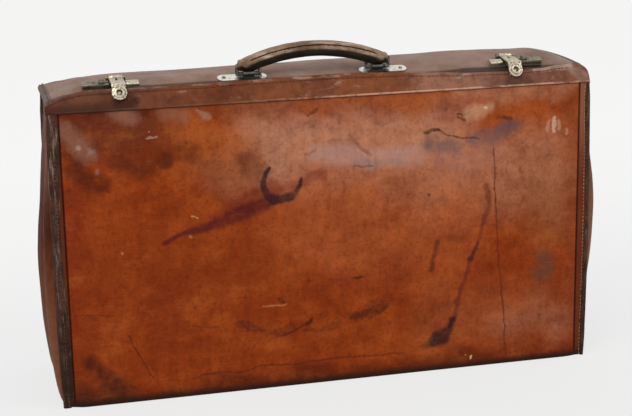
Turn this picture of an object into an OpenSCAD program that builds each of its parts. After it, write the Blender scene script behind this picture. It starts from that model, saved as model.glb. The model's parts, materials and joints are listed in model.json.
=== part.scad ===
// A frame-mouth leather travelling case: a tall flat body with puffed end gussets,
// a crowned lid that swings up about its rear fold, an arched carrying handle on
// the lid and two hasp locks that reach over the front lip.
// X runs along the case, the front faces -Y, and Z is up. The origin is the middle
// of the underside. All sizes are in millimetres.

/* [Case] */
// Length of the case over the side welts
case_w = 600; // [480:1:720]
// Depth of the case, front panel to back panel
case_d = 150; // [130:1:200]
// Height of the fold where the front panel meets the front band
fold_h = 324; // [240:1:400]
// Thickness of the body leather
leather_t = 4; // [3:0.5:5]
// Thickness of the cloth lining
lining_t = 1; // [0.6:0.1:1.6]
// Thickness of the stiffening board in the base
board_t = 4; // [2:0.5:6]
// Radius of the rounded long edges of the base
base_r = 9; // [7:0.5:14]
// How far the base leather turns up before the panels start
base_turn = 6; // [3:0.5:12]
// Width of the stitched welts along the upright edges
welt_w = 9; // [7:0.5:12]
// How far a welt stands proud of the panel
welt_proud = 1; // [0.4:0.1:2]
// How far the end gussets puff out beside their seams
gusset_puff = 15; // [6:1:22]
// How far the middle of a gusset folds back in
gusset_tuck = 6; // [2:0.5:8]

/* [Mouth] */
// Height of the front band above the fold
band_rise = 21.3; // [17:0.1:26]
// How far the lip of the front band leans back from the fold
band_lean = 10; // [6:0.5:12]
// Thickness of the front band, leather and steel together
band_t = 6; // [5:0.5:7]
// Radius of the upper corners of the front band
band_corner_r = 17; // [10:0.5:20]
// Thickness of the steel stay inside the front band
stay_t = 1.6; // [1:0.1:2]
// Height of the steel frame round the mouth of the body
frame_h = 13; // [10:0.5:16]
// Thickness of the steel strip of both frames
frame_t = 3; // [2:0.5:4]

/* [Lid] */
// Height of the lid's edge above the fold
lid_edge = 16; // [14:0.5:18]
// Rise of the lid's crown above its edge
lid_crown = 12; // [8:0.5:15]
// How much of the crown is left at the ends of the lid
lid_end_crown = 2; // [0.5:0.5:6]
// Length at each end over which the crown falls away
lid_end_run = 38; // [24:1:60]
// Thickness of the lid leather
lid_t = 3; // [2:0.5:4]
// Thickness of the sewn leather cap at each end of the lid
cap_t = 4.5; // [3:0.5:6]
// Gap between the lip of the front band and the lid
lid_gap = 1.2; // [1:0.1:2]
// Height of the steel strip inside the lid
lid_frame_h = 10; // [8:0.5:11]

/* [Lid hinge] */
// Radius of the leather roll along the rear fold
roll_r = 4; // [3:0.5:5]
// Radius of the pivot rivets at the ends of the rear fold
pivot_r = 1.6; // [1.2:0.1:2]
// Thickness of one pivot ear
ear_t = 3; // [2:0.5:4]

/* [Handle] */
// How far the handle sits to the right of the middle
hardware_shift = -10; // [-20:1:20]
// Distance between the two handle rings
handle_span = 144; // [120:1:170]
// Height of the underside of the grip above its pivots
grip_rise = 17.5; // [15:0.5:22]
// Sagitta of the grip's arch over the ring distance
grip_arch = 14; // [11:0.5:15]
// Width of the grip
grip_w = 16; // [14:0.5:18]
// Thickness of the grip
grip_h = 15; // [13:0.5:17]
// Radius of the core inside the grip
core_r = 3.5; // [2:0.5:4.5]
// Radius of the handle rings' wire
ring_wire_r = 2; // [1.5:0.1:2.2]
// Distance from the handle pivots back from the lid's front edge
handle_back = 13; // [12:0.5:16]
// Length of a handle plate
plate_l = 54; // [50:1:60]
// Width of a handle plate
plate_w = 14; // [12:0.5:15]

/* [Locks] */
// Mean distance of the two locks from the ends of the case
lock_inset = 80.5; // [75:0.5:110]
// How far the two locks sit to the right of the middle
lock_shift = -5; // [-8:1:0]
// Distance from the lid's front edge to the middle of a lock plate
lock_back = 13; // [12.5:0.5:15]
// Width of a hasp
hasp_w = 15; // [13:0.5:17]
// Thickness of a hasp
hasp_t = 1.8; // [1.4:0.1:2.2]
// Radius of the eye at the tip of a hasp
eye_r = 3.2; // [2.4:0.1:3.8]
// Travel of a slide bolt
bolt_travel = 5; // [4:0.5:6]
// Length of the bolt guide beside a hasp
guide_l = 28; // [26:1:34]

/* [Hidden] */
$fn = 64;

// Leather, cloth and metal colours
tan = "#8a3d18";
dark_tan = "#4a2716";
umber = "#2e2019";
linen = "#b9a482";
card = "#8d7657";
steel = "#8b8780";
bronze = "#8f8260";
nickel = "#cfc7b6";

// Running clearances
running = 0.06;
sliding = 0.15;
eps = 0.01;

// Derived sizes of the body
half_w = case_w / 2;
half_d = case_d / 2;
panel_w = half_w - welt_w;
in_w = half_w - leather_t;
in_d = half_d - leather_t;
panel_z = base_r + base_turn;
floor_z = leather_t + board_t + lining_t;
frame_top = fold_h - roll_r - 0.4;
frame_z = frame_top - frame_h;
lining_gap = 0.5;

// The rear fold is the lid's hinge axis
hinge_y = in_d;
hinge_z = fold_h;
ear_r = roll_r - 0.2;
ear_gap = 0.4;
pivot_head_r = pivot_r + 1.2;
pivot_head_t = 1.3;
pivot_stack = 2 * ear_t + 2 * ear_gap + pivot_head_t;
body_ear_x = panel_w - pivot_stack - ear_gap;
lid_ear_x = body_ear_x + ear_t + ear_gap;
roll_w = body_ear_x - 1;
back_welt_top = fold_h - roll_r - 2;

// The front band leans back from the fold to its lip
lean = atan(band_lean / band_rise);
band_len = norm([band_lean, band_rise]);
band_w = case_w - 6;
lip_y = -half_d + band_lean;
lip_z = fold_h + band_rise;
cheek_t = 4;
cheek_inset = 0.5;
stay_margin = 2;

// The lid's outline: front edge, crown arc and sloping rear wall
lid_front = lip_y + band_t / cos(lean) + lid_gap;
rear_slope = 13;
lid_rear = half_d - rear_slope;
lid_z0 = fold_h + 1;
lid_z1 = fold_h + lid_edge;
lid_out = half_w - 0.5;
lid_in = lid_out - cap_t;
lid_tail = [hinge_y + 1.6, hinge_z + roll_r + 0.8];
cap_tail_y = hinge_y - 1.5;
arc_half = (lid_rear - lid_front) / 2;
arc_y = (lid_rear + lid_front) / 2;
arc_r = (arc_half * arc_half + lid_crown * lid_crown) / (2 * lid_crown);
arc_z = lid_z1 + lid_crown - arc_r;
arc_steps = 12;

// Handle and lock places
handle_x = hardware_shift;
handle_y = lid_front + handle_back;
plate_t = 1.4;
ring_lift = 1.3;
pivot_lift = plate_t + ring_wire_r + ring_lift;
ring_rise = 9;
ring_half = 12.5;
saddle_w = 12;
saddle_wall = 1.6;
post_wall = saddle_wall - 0.5;
post_half = saddle_w / 2 - 0.6;
leg_half = 10;
leg_thick = 7;
foot_x = handle_span / 2;
lock_offset = half_w - lock_inset;
lock_y = lid_front + lock_back;
lock_plate_t = 1.2;
lock_case_w = 14;
lock_block_h = 5.4;
lock_block_d = 9;
lock_line = -6;
hasp_gap_x = 1.5;
guide_x0 = hasp_w / 2 + hasp_gap_x;
pin_r = 1.5;
pin_y = 9.5;
pin_lift = lock_plate_t + 2.9;
knuckle_r = 2.8;
lug_w = 2.8;
lug_post = knuckle_r - 0.5;
lug_inset = 0.4;
tongue_half = hasp_w / 2 + lug_w + 0.6;
lug_gap = 0.3;
keeper_t = 1;
keeper_h = 11;
stud_t = 0.6;
hasp_stand = keeper_t + stud_t + 0.6;
eye_drop = 6.5;
lip_clear = 1.4;
bolt_w = 4.4;
bolt_h = 1.8;
bolt_lift = 3.7;
staple_x = 2;
staple_w = 3;
staple_wall = 1.4;
staple_foot = 0.7;
bolt_play = 0.5;
thumb_l = 6;
thumb_h = 2.6;
thumb_x = guide_x0 + bolt_travel - 0.5;
rivet_r = 1.4;
rivet_head_r = 2.5;
rivet_head_h = 1;

// Extrudes a YZ outline along X from x0 to x1
module along_x(x0, x1) {
    translate([x0, 0, 0]) rotate([90, 0, 90]) linear_extrude(x1 - x0) children();
}

// A cylinder along X from x0 to x1, about the line at y and z
module rod_x(x0, x1, y, z, r) {
    translate([x0, y, z]) rotate([0, 90, 0]) cylinder(h = x1 - x0, r = r);
}

// A box given by its two corners
module box(low, high) {
    translate(low) cube(high - low);
}

// Puts its children at both ends of the case, the left one mirrored
module both_ends() {
    for (side = [0, 1]) mirror([side, 0, 0]) children();
}

// A closed solid through equal rings of points. A ring goes out along one side of a
// sheet and back along the other, so its ends are closed by strips across the sheet
module skin(rings) {
    n = len(rings[0]);
    m = len(rings);
    last = (m - 1) * n;
    points = [for (ring = rings) each ring];
    sides = [for (i = [0:m - 2], j = [0:n - 1]) let (k = (j + 1) % n, a = i * n, b = a + n)
        each [[a + j, b + j, b + k], [a + j, b + k, a + k]]];
    ends = [for (j = [0:n / 2 - 2]) let (k = j + 1, p = n - 1 - j, q = n - 2 - j)
        each [[j, k, q], [j, q, p], [last + q, last + k, last + j], [last + p, last + q, last + j]]];
    polyhedron(points, concat(sides, ends), convexity = 10);
}

// Body

// A flat-bottomed outline with rounded lower corners
module tray_outline(half, r, h) {
    translate([-half + r, 0]) square([2 * (half - r), r + eps]);
    translate([-half, r]) square([2 * half, h - r]);
    for (side = [-1, 1]) translate([side * (half - r), r]) intersection() {
        circle(r);
        translate([-r, -r]) square([2 * r, r]);
    }
}

module base_panel() {
    color(tan) union() {
        along_x(-panel_w, panel_w) difference() {
            tray_outline(half_d, base_r, panel_z);
            translate([0, leather_t]) tray_outline(in_d, base_r - leather_t, panel_z);
        }
        box([-in_w, -in_d, 0], [in_w, in_d, leather_t]);
    }
}

board_inset = base_r - leather_t;

module base_board() {
    color(card) box([-in_w, -in_d + board_inset, leather_t], [in_w, in_d - board_inset, leather_t + board_t]);
}

module base_lining() {
    color(linen) box([-in_w, -in_d + board_inset, floor_z - lining_t], [in_w, in_d - board_inset, floor_z]);
}

module front_panel() {
    color(tan) box([-panel_w, -half_d, panel_z], [panel_w, -in_d, fold_h]);
}

// The back panel ends in a roll that the lid swings about
module back_panel() {
    color(tan) union() {
        box([-panel_w, in_d, panel_z], [panel_w, half_d, fold_h - roll_r]);
        box([-roll_w, in_d, panel_z], [roll_w, half_d, fold_h]);
        rod_x(-roll_w, roll_w, hinge_y, hinge_z, roll_r);
    }
}

// Upright share of the puff, none where the base and the mouth frame touch
puff_z0 = floor_z + 2;
puff_z1 = frame_z - 2;
function puff_height(z) = let (t = max(0, min(1, (z - puff_z0) / (puff_z1 - puff_z0))))
    sin(180 * pow(t, 0.85));
// Share across the gusset: a swell beside each seam and a tuck down the middle
function inward(y) = 1 - abs(y) / in_d;
function gusset_out(y, z, slack) = puff_height(z)
    * (slack * gusset_puff * sin(180 * pow(inward(y), 0.6)) - gusset_tuck * pow(inward(y), 3));

gusset_columns = 20;
gusset_rows = 14;
// The lining hangs straighter than the leather
lining_slack = 0.6;

// A gusset sheet between two distances from the end plane, over a height range.
// Slack is the share of the puff that it follows
module gusset_sheet(outer, inner, edge, z0, z1, slack) {
    ys = [for (i = [0:gusset_columns]) edge * (2 * i / gusset_columns - 1)];
    zs = concat([z0], [for (j = [0:gusset_rows]) puff_z0 + (puff_z1 - puff_z0) * j / gusset_rows], [z1]);
    skin([for (z = zs) concat(
        [for (y = ys) [half_w - outer + gusset_out(y, z, slack), y, z]],
        [for (i = [gusset_columns:-1:0]) [half_w - inner + gusset_out(ys[i], z, slack), ys[i], z]])]);
}

module gusset() {
    color(dark_tan) gusset_sheet(0, leather_t, in_d, 0, fold_h, 1);
}

module right_gusset() {
    gusset();
}

module left_gusset() {
    mirror([1, 0, 0]) gusset();
}

module gusset_lining() {
    color(linen) gusset_sheet(leather_t + lining_gap, leather_t + lining_gap + lining_t,
        in_d - lining_t - lining_gap, floor_z, frame_z, lining_slack);
}

module right_lining() {
    gusset_lining();
}

module left_lining() {
    mirror([1, 0, 0]) gusset_lining();
}

module welt(top) {
    color(umber) box([panel_w, -half_d - welt_proud, 0], [half_w + welt_proud / 2, -in_d, top]);
}

module front_right_welt() {
    welt(fold_h);
}

module front_left_welt() {
    mirror([1, 0, 0]) welt(fold_h);
}

module back_right_welt() {
    mirror([0, 1, 0]) welt(back_welt_top);
}

module back_left_welt() {
    mirror([1, 0, 0]) mirror([0, 1, 0]) welt(back_welt_top);
}

module panel_lining() {
    color(linen) box([-panel_w, -in_d, panel_z], [panel_w, -in_d + lining_t, frame_z]);
}

module front_lining() {
    panel_lining();
}

module back_lining() {
    mirror([0, 1, 0]) panel_lining();
}

// Mouth

// A steel ring inside the top of the body, with an ear for each lid pivot
module mouth_frame() {
    color(steel) difference() {
        union() {
            difference() {
                box([-in_w, -in_d, frame_z], [in_w, in_d, frame_top]);
                box([-in_w + frame_t, -in_d + frame_t, frame_z - 1],
                    [in_w - frame_t, in_d - frame_t, frame_top + 1]);
            }
            both_ends() {
                box([body_ear_x, hinge_y - ear_r, frame_top - ear_r], [body_ear_x + ear_t, hinge_y, hinge_z]);
                rod_x(body_ear_x, body_ear_x + ear_t, hinge_y, hinge_z, ear_r);
            }
        }
        both_ends() rod_x(body_ear_x - 1, body_ear_x + ear_t + 1, hinge_y, hinge_z, pivot_r);
    }
}

module pivot_rivets() {
    head_x = lid_ear_x + ear_t + ear_gap;
    color(steel) both_ends() {
        rod_x(body_ear_x, head_x + eps, hinge_y, hinge_z, pivot_r);
        rod_x(head_x, head_x + pivot_head_t, hinge_y, hinge_z, pivot_head_r);
    }
}

// Turns a flat shape, drawn upright in XZ with its front at y = 0, to the band's lean
module on_band() {
    translate([0, -half_d, fold_h]) rotate([-lean, 0, 0]) children();
}

// The band's outline as seen square on, with rounded upper corners
module band_outline(half, h, r) {
    drop = band_t;
    translate([-half, -drop]) square([2 * half, h - r + drop]);
    translate([-half + r, -drop]) square([2 * (half - r), h + drop]);
    for (side = [-1, 1]) translate([side * (half - r), h - r]) circle(r);
}

module band_plate(half, h, r, t) {
    translate([0, t, 0]) rotate([90, 0, 0]) linear_extrude(t) band_outline(half, h, r);
}

stay_half = band_w / 2 - band_corner_r;
stay_low = band_t;
stay_high = band_len - stay_margin;

module stay_plate() {
    on_band() box([-stay_half, (band_t - stay_t) / 2, stay_low],
        [stay_half, (band_t + stay_t) / 2, stay_high]);
}

// The front band: a leather sleeve round its stay, with a cheek at each end
module front_band() {
    cheek_x = band_w / 2 - cheek_inset;
    cheek_y = lid_front - lid_gap / 2;
    cheek_z = fold_h + band_rise - band_corner_r / 2 - band_t / 2;
    back_y = -half_d + band_t / cos(lean);
    color(tan) difference() {
        union() {
            intersection() {
                on_band() band_plate(band_w / 2, band_len, band_corner_r, band_t);
                box([-band_w, -case_d, fold_h], [band_w, 0, lip_z + band_t]);
            }
            both_ends() along_x(cheek_x - cheek_t, cheek_x) polygon([[back_y - 1, fold_h], [cheek_y, fold_h],
                [cheek_y, cheek_z], [back_y - 1 + (cheek_z - fold_h) * tan(lean), cheek_z]]);
        }
        stay_plate();
    }
}

module front_stay() {
    color(steel) stay_plate();
}

// Lid

// Crown height left at a distance along the lid
function crown_at(x) = let (run = max(0, (abs(x) - lid_in + lid_end_run) / lid_end_run))
    lid_crown - (lid_crown - lid_end_crown) * run * run;
// Height of the crown's arc over the lid's edge, as a share, across the lid
function arc_share(y) = (arc_z + sqrt(arc_r * arc_r - (y - arc_y) * (y - arc_y)) - lid_z1) / lid_crown;
function lid_height(x, y) = lid_z1 + crown_at(x) * arc_share(y);
function arc_point(i, inset) = lid_front + inset + (lid_rear - lid_front - 2 * inset) * i / arc_steps;

// One ring of the lid's shell at x, between two depths under the outside
function lid_ring(x, over, under) = concat(
    [[x, lid_front + over, lid_z0]],
    [for (i = [0:arc_steps]) let (y = arc_point(i, over)) [x, y, lid_height(x, y) - over]],
    [[x, lid_tail.x - over * 1.2, lid_tail.y]],
    [[x, lid_tail.x - under * 1.2, lid_tail.y]],
    [for (i = [arc_steps:-1:0]) let (y = arc_point(i, under)) [x, y, lid_height(x, y) - under]],
    [[x, lid_front + under, lid_z0]]);

end_stations = [0, 0.25, 0.5, 0.75, 1];
function lid_stations(reach) = concat(
    [for (s = end_stations) -reach + s * lid_end_run],
    [for (i = [len(end_stations) - 1:-1:0]) reach - end_stations[i] * lid_end_run]);

module lid_shell(over, under, reach) {
    skin([for (x = lid_stations(reach)) lid_ring(x, over, under)]);
}

module lid_top() {
    color(dark_tan) lid_shell(0, lid_t, lid_in);
}

module lid_lining() {
    color(linen) lid_shell(lid_t + lining_gap, lid_t + lining_gap + lining_t, lid_in - frame_t);
}

// The end cap follows the lid's outline at its end, cut short beside the hinge
module lid_cap() {
    tail_z = lid_tail.y + (lid_tail.x - cap_tail_y) * (lid_z1 - lid_tail.y) / (lid_tail.x - lid_rear);
    color(dark_tan) along_x(lid_in, lid_out) polygon(concat(
        [[lid_front, lid_z0]],
        [for (i = [0:arc_steps]) let (y = arc_point(i, 0)) [y, lid_height(lid_in, y)]],
        [[cap_tail_y, tail_z], [cap_tail_y, lid_tail.y], [cap_tail_y - roll_r, lid_z0]]));
}

module lid_right_cap() {
    lid_cap();
}

module lid_left_cap() {
    mirror([1, 0, 0]) lid_cap();
}

lid_frame_y0 = lid_front + lid_t + lining_gap + lining_t + 0.2;
lid_frame_y1 = lid_rear - lid_t;
lid_frame_z0 = lid_z0 + 0.5;
lid_frame_z1 = lid_frame_z0 + lid_frame_h;

// A steel ring inside the lid's edge, with an ear that turns on each pivot rivet
module lid_frame() {
    bar_y = lid_frame_y1 - frame_t;
    reach = norm([hinge_y - bar_y, hinge_z - lid_frame_z0 - lid_frame_h / 3]);
    side = [lid_frame_z0 + lid_frame_h / 3 - hinge_z, hinge_y - bar_y] / reach * (ear_r - 0.3);
    color(steel) difference() {
        union() {
            difference() {
                box([-lid_in, lid_frame_y0, lid_frame_z0], [lid_in, lid_frame_y1, lid_frame_z1]);
                box([-lid_in + frame_t, lid_frame_y0 + frame_t, lid_frame_z0 - 1],
                    [lid_in - frame_t, bar_y, lid_frame_z1 + 1]);
            }
            both_ends() {
                along_x(lid_ear_x, lid_ear_x + ear_t) polygon([[bar_y, lid_frame_z0],
                    [bar_y, lid_frame_z0 + lid_frame_h * 0.6],
                    [hinge_y, hinge_z] + side, [hinge_y, hinge_z] - side]);
                rod_x(lid_ear_x, lid_ear_x + ear_t, hinge_y, hinge_z, ear_r);
            }
        }
        both_ends() rod_x(lid_ear_x - 1, lid_ear_x + ear_t + 1, hinge_y, hinge_z, pivot_r + running);
    }
}

// Slope of the lid at a distance from front to back
function lid_slope(y) = asin((arc_y - y) / arc_r);
// Places children on the lid's crown: local z is square to the leather
module on_lid(y) {
    translate([0, arc_y, arc_z]) rotate([lid_slope(y), 0, 0]) translate([0, 0, arc_r]) children();
}
// A point on the lid's crown at y, lifted square to the leather and moved along it
function lid_point(y, along, lift) = [
    arc_y - (arc_r + lift) * sin(lid_slope(y)) + along * cos(lid_slope(y)),
    arc_z + (arc_r + lift) * cos(lid_slope(y)) + along * sin(lid_slope(y))];

// Handle

plate_x = foot_x + 7;
rivet_x = plate_l / 2 - plate_w / 2;
pivot_at = lid_point(handle_y, 0, pivot_lift);
grip_z = pivot_at.y + grip_rise + grip_h / 2;
arch_r = (foot_x * foot_x + grip_arch * grip_arch) / (2 * grip_arch);
grip_half_angle = asin((foot_x - leg_half + 2) / arch_r);
core_half_angle = grip_half_angle - 2;

// Rounded plate with a saddle that the ring's lower bar turns in
module handle_plate() {
    color(nickel) difference() {
        union() {
            on_lid(handle_y) translate([plate_x, 0, 0]) linear_extrude(plate_t) {
                square([plate_l - plate_w, plate_w], center = true);
                for (side = [-1, 1]) translate([side * rivet_x, 0]) circle(plate_w / 2);
            }
            on_lid(handle_y) box([foot_x - post_half, -ring_wire_r - post_wall, plate_t / 2],
                [foot_x + post_half, ring_wire_r + post_wall, pivot_lift]);
            rod_x(foot_x - saddle_w / 2, foot_x + saddle_w / 2, pivot_at.x, pivot_at.y,
                ring_wire_r + saddle_wall);
        }
        rod_x(foot_x - saddle_w, foot_x + saddle_w, pivot_at.x, pivot_at.y, ring_wire_r + running);
        on_lid(handle_y) for (side = [-1, 1])
            translate([plate_x + side * rivet_x, 0, -1]) cylinder(h = plate_t + 2, r = rivet_r);
    }
}

module right_handle_plate() {
    translate([handle_x, 0, 0]) handle_plate();
}

module left_handle_plate() {
    translate([handle_x, 0, 0]) mirror([1, 0, 0]) handle_plate();
}

// A rivet whose shank fills a plate of the given thickness
module rivet(t) {
    cylinder(h = t + eps, r = rivet_r);
    translate([0, 0, t]) cylinder(h = rivet_head_h, r1 = rivet_head_r, r2 = rivet_head_r * 0.6);
}

module handle_rivets() {
    color(nickel) translate([handle_x, 0, 0]) both_ends() on_lid(handle_y) for (side = [-1, 1])
        translate([plate_x + side * rivet_x, 0, 0]) rivet(plate_t);
}

// Part of a ring bent to the grip's arch, from a cross-section drawn about its middle
module arch_sweep(half_angle) {
    translate([0, pivot_at.x, grip_z - arch_r]) rotate([90, 0, 0]) rotate([0, 0, 90 - half_angle])
        rotate_extrude(angle = 2 * half_angle, $fn = 180) translate([arch_r, 0]) children();
}

// The grip's section, with rounded long edges
module grip_section() {
    r = 5;
    square([grip_h - 2 * r, grip_w], center = true);
    square([grip_h, grip_w - 2 * r], center = true);
    for (a = [-1, 1], b = [-1, 1]) translate([a * (grip_h / 2 - r), b * (grip_w / 2 - r)]) circle(r);
}

bar_z = pivot_at.y + ring_rise;
leg_low = bar_z - leg_thick / 2 - 0.6;
leg_top = grip_z - arch_r + sqrt(arch_r * arch_r - foot_x * foot_x) + grip_h / 2;

// The stitched grip with an end loop round each ring
module handle_cover() {
    color(umber) translate([handle_x, 0, 0]) difference() {
        union() {
            arch_sweep(grip_half_angle) grip_section();
            both_ends() box([foot_x - leg_half, pivot_at.x - leg_thick / 2, leg_low],
                [foot_x + leg_half, pivot_at.x + leg_thick / 2, leg_top]);
        }
        arch_sweep(core_half_angle) circle(core_r);
        both_ends() rod_x(foot_x - ring_half - 4, foot_x + ring_half + 4, pivot_at.x, bar_z,
            ring_wire_r + running);
    }
}

module handle_core() {
    color(card) translate([handle_x, 0, 0]) arch_sweep(core_half_angle) circle(core_r);
}

// A closed wire ring with square corners rounded by balls
module handle_ring() {
    color(nickel) union() {
        for (z = [pivot_at.y, bar_z])
            rod_x(foot_x - ring_half, foot_x + ring_half, pivot_at.x, z, ring_wire_r);
        for (side = [-1, 1]) {
            translate([foot_x + side * ring_half, pivot_at.x, pivot_at.y])
                cylinder(h = ring_rise, r = ring_wire_r);
            for (z = [pivot_at.y, bar_z])
                translate([foot_x + side * ring_half, pivot_at.x, z]) sphere(ring_wire_r);
        }
    }
}

module right_handle_ring() {
    translate([handle_x, 0, 0]) handle_ring();
}

module left_handle_ring() {
    translate([handle_x, 0, 0]) mirror([1, 0, 0]) handle_ring();
}

// Locks, drawn about x = 0 with the bolt guide on the outer side

// Puts a lock at its place, the left one mirrored so that its guide is outside too
module at_lock(side) {
    translate([lock_shift + side * lock_offset, 0, 0]) mirror([side < 0 ? 1 : 0, 0, 0]) children();
}

lock_x0 = -guide_x0 - lock_case_w;
lock_x1 = guide_x0 + guide_l;
block_y0 = lock_line - lock_block_d / 2;
block_y1 = lock_line + lock_block_d / 2;
block_top = lock_plate_t + lock_block_h;
plate_y0 = block_y0 - 1;
plate_y1 = 6.5;
lock_rivet_y = (block_y1 + plate_y1) / 2;
lock_rivet_xs = [lock_x0 + 5, guide_x0 + 9, lock_x1 - 5];
pin_at = lid_point(lock_y, pin_y, pin_lift);

// Base plate with the two lugs that hold the hasp's pin
module lock_plate() {
    color(bronze) difference() {
        union() {
            on_lid(lock_y) {
                box([lock_x0, plate_y0, 0], [lock_x1, plate_y1, lock_plate_t]);
                box([-tongue_half, plate_y1 - 1, 0], [tongue_half, pin_y + knuckle_r, lock_plate_t]);
                for (side = [-1, 1]) translate([side * (hasp_w / 2 + lug_w / 2), 0, 0])
                    box([-lug_w / 2 + lug_inset, pin_y - lug_post, lock_plate_t / 2],
                        [lug_w / 2 - lug_inset, pin_y + lug_post, pin_lift]);
            }
            for (side = [-1, 1]) translate([side * (hasp_w / 2 + lug_w / 2), 0, 0])
                rod_x(-lug_w / 2, lug_w / 2, pin_at.x, pin_at.y, knuckle_r);
        }
        rod_x(-hasp_w, hasp_w, pin_at.x, pin_at.y, pin_r);
        on_lid(lock_y) for (x = lock_rivet_xs)
            translate([x, lock_rivet_y, -1]) cylinder(h = lock_plate_t + 2, r = rivet_r);
    }
}

module left_lock_plate() {
    at_lock(-1) lock_plate();
}

module right_lock_plate() {
    at_lock(1) lock_plate();
}

module lock_rivets() {
    color(bronze) for (side = [-1, 1]) at_lock(side) on_lid(lock_y)
        for (x = lock_rivet_xs) translate([x, lock_rivet_y, 0]) rivet(lock_plate_t);
}

module hasp_pin() {
    color(steel) rod_x(-hasp_w / 2 - lug_w, hasp_w / 2 + lug_w, pin_at.x, pin_at.y, pin_r);
}

module left_hasp_pin() {
    at_lock(-1) hasp_pin();
}

module right_hasp_pin() {
    at_lock(1) hasp_pin();
}

// Block on the inner side of the hasp that houses the spring
module lock_case() {
    chamfer = 1.2;
    color(bronze) on_lid(lock_y) translate([lock_x0, 0, 0]) rotate([90, 0, 90]) linear_extrude(lock_case_w)
        polygon([[block_y0, lock_plate_t], [block_y1, lock_plate_t], [block_y1, block_top - chamfer],
            [block_y1 - chamfer, block_top], [block_y0 + chamfer, block_top],
            [block_y0, block_top - chamfer]]);
}

module left_lock_case() {
    at_lock(-1) lock_case();
}

module right_lock_case() {
    at_lock(1) lock_case();
}

bolt_y0 = lock_line - bolt_w / 2;
bolt_y1 = lock_line + bolt_w / 2;
bolt_z0 = bolt_lift - bolt_h / 2;
bolt_z1 = bolt_lift + bolt_h / 2;
bolt_tip = staple_x + staple_w + 0.6;
bolt_tail = lock_x1 - 5;
neck_w = 2.6;
neck_l = 3;

// Channel on the outer side of the hasp that the bolt slides in
module bolt_guide() {
    color(umber) on_lid(lock_y) difference() {
        box([guide_x0, block_y0, lock_plate_t], [lock_x1, block_y1, block_top]);
        box([guide_x0 - 1, bolt_y0 - sliding, bolt_z0 - sliding],
            [bolt_tail + sliding, bolt_y1 + sliding, bolt_z1 + sliding]);
        box([guide_x0 - 1, lock_line - neck_w / 2 - sliding, bolt_lift],
            [thumb_x + (thumb_l + neck_l) / 2 + sliding, lock_line + neck_w / 2 + sliding, block_top + 1]);
    }
}

module left_bolt_guide() {
    at_lock(-1) bolt_guide();
}

module right_bolt_guide() {
    at_lock(1) bolt_guide();
}

// Bolt with a ribbed thumb piece on a neck that passes through the guide's slot
module slide_bolt() {
    ribs = 3;
    thumb_z = block_top + 0.3;
    color(bronze) on_lid(lock_y) difference() {
        union() {
            box([bolt_tip, bolt_y0, bolt_z0], [bolt_tail - sliding, bolt_y1, bolt_z1]);
            box([thumb_x + (thumb_l - neck_l) / 2, lock_line - neck_w / 2, bolt_lift],
                [thumb_x + (thumb_l + neck_l) / 2, lock_line + neck_w / 2, thumb_z + 0.5]);
            box([thumb_x, block_y0 + 0.5, thumb_z], [thumb_x + thumb_l, block_y1 - 0.5, thumb_z + thumb_h]);
        }
        for (i = [0:ribs - 1]) translate([thumb_x + (i + 0.5) * thumb_l / ribs, 0, thumb_z + thumb_h])
            rotate([90, 0, 0]) cylinder(h = 4 * lock_block_d, r = thumb_l / ribs / 3, center = true);
    }
}

module left_slide_bolt() {
    at_lock(-1) slide_bolt();
}

module right_slide_bolt() {
    at_lock(1) slide_bolt();
}

// The hasp runs from its pin to an elbow over the lip, then down the band to its eye
band_up = [sin(lean), cos(lean)];
band_out = [-cos(lean), sin(lean)];
elbow = [lip_y, lip_z] + band_out * (hasp_stand + hasp_t / 2) + band_up * (lip_clear + hasp_t / 2);
arm_len = norm(pin_at - elbow);
arm_angle = atan2(pin_at.y - elbow.y, pin_at.x - elbow.x);
leg_len = eye_drop + lip_clear + hasp_t / 2;
ring_t = 0.8;
slot_w = 2.2;
slot_l = 8;

// The strip's outline: arm, mitred elbow and leg, half its thickness to each side
arm_up = [-sin(arm_angle), cos(arm_angle)];
leg_tip = elbow - band_up * leg_len;
mitre = (arm_up + band_out) * hasp_t / 2 / (1 + arm_up * band_out);
// Height of the arm over the lock plate, at a distance along the plate
function arm_lift(along) = pin_lift + (pin_y - along) * tan(lid_slope(lock_y) - arm_angle);
tip_r = hasp_w / 2 + 0.4;
tip_t = hasp_t + 0.4;
eye_wall = 2.2;

module hasp_strip(half) {
    along_x(-half, half) polygon([pin_at + arm_up * hasp_t / 2, elbow + mitre,
        leg_tip + band_out * hasp_t / 2, leg_tip - band_out * hasp_t / 2, elbow - mitre,
        pin_at - arm_up * hasp_t / 2]);
}

// Puts children at the hasp's tip, with z square to the band
module at_tip() {
    translate([0, leg_tip.x, leg_tip.y]) rotate([90 - lean, 0, 0]) children();
}

module hasp() {
    color(nickel) difference() {
        union() {
            hasp_strip(hasp_w / 2);
            // Knuckle round the pin
            rod_x(-hasp_w / 2 + lug_gap, hasp_w / 2 - lug_gap, pin_at.x, pin_at.y, knuckle_r);
            // Round tip with a raised ring round the eye
            at_tip() translate([0, 0, -tip_t / 2]) {
                cylinder(h = tip_t, r = tip_r);
                cylinder(h = tip_t + ring_t, r = eye_r + eye_wall);
            }
        }
        rod_x(-hasp_w, hasp_w, pin_at.x, pin_at.y, pin_r + running);
        at_tip() cylinder(h = 4 * hasp_t, r = eye_r, center = true);
        translate([0, elbow.x, elbow.y]) rotate([arm_angle, 0, 0]) translate([0, arm_len - knuckle_r - 4, 0])
            box([-slot_w / 2, -slot_l, -hasp_t], [slot_w / 2, 0, hasp_t]);
        // Room for the two lugs beside the knuckle
        both_ends() rod_x(hasp_w / 2 - lug_gap, hasp_w, pin_at.x, pin_at.y, knuckle_r + lug_gap);
    }
}

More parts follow.
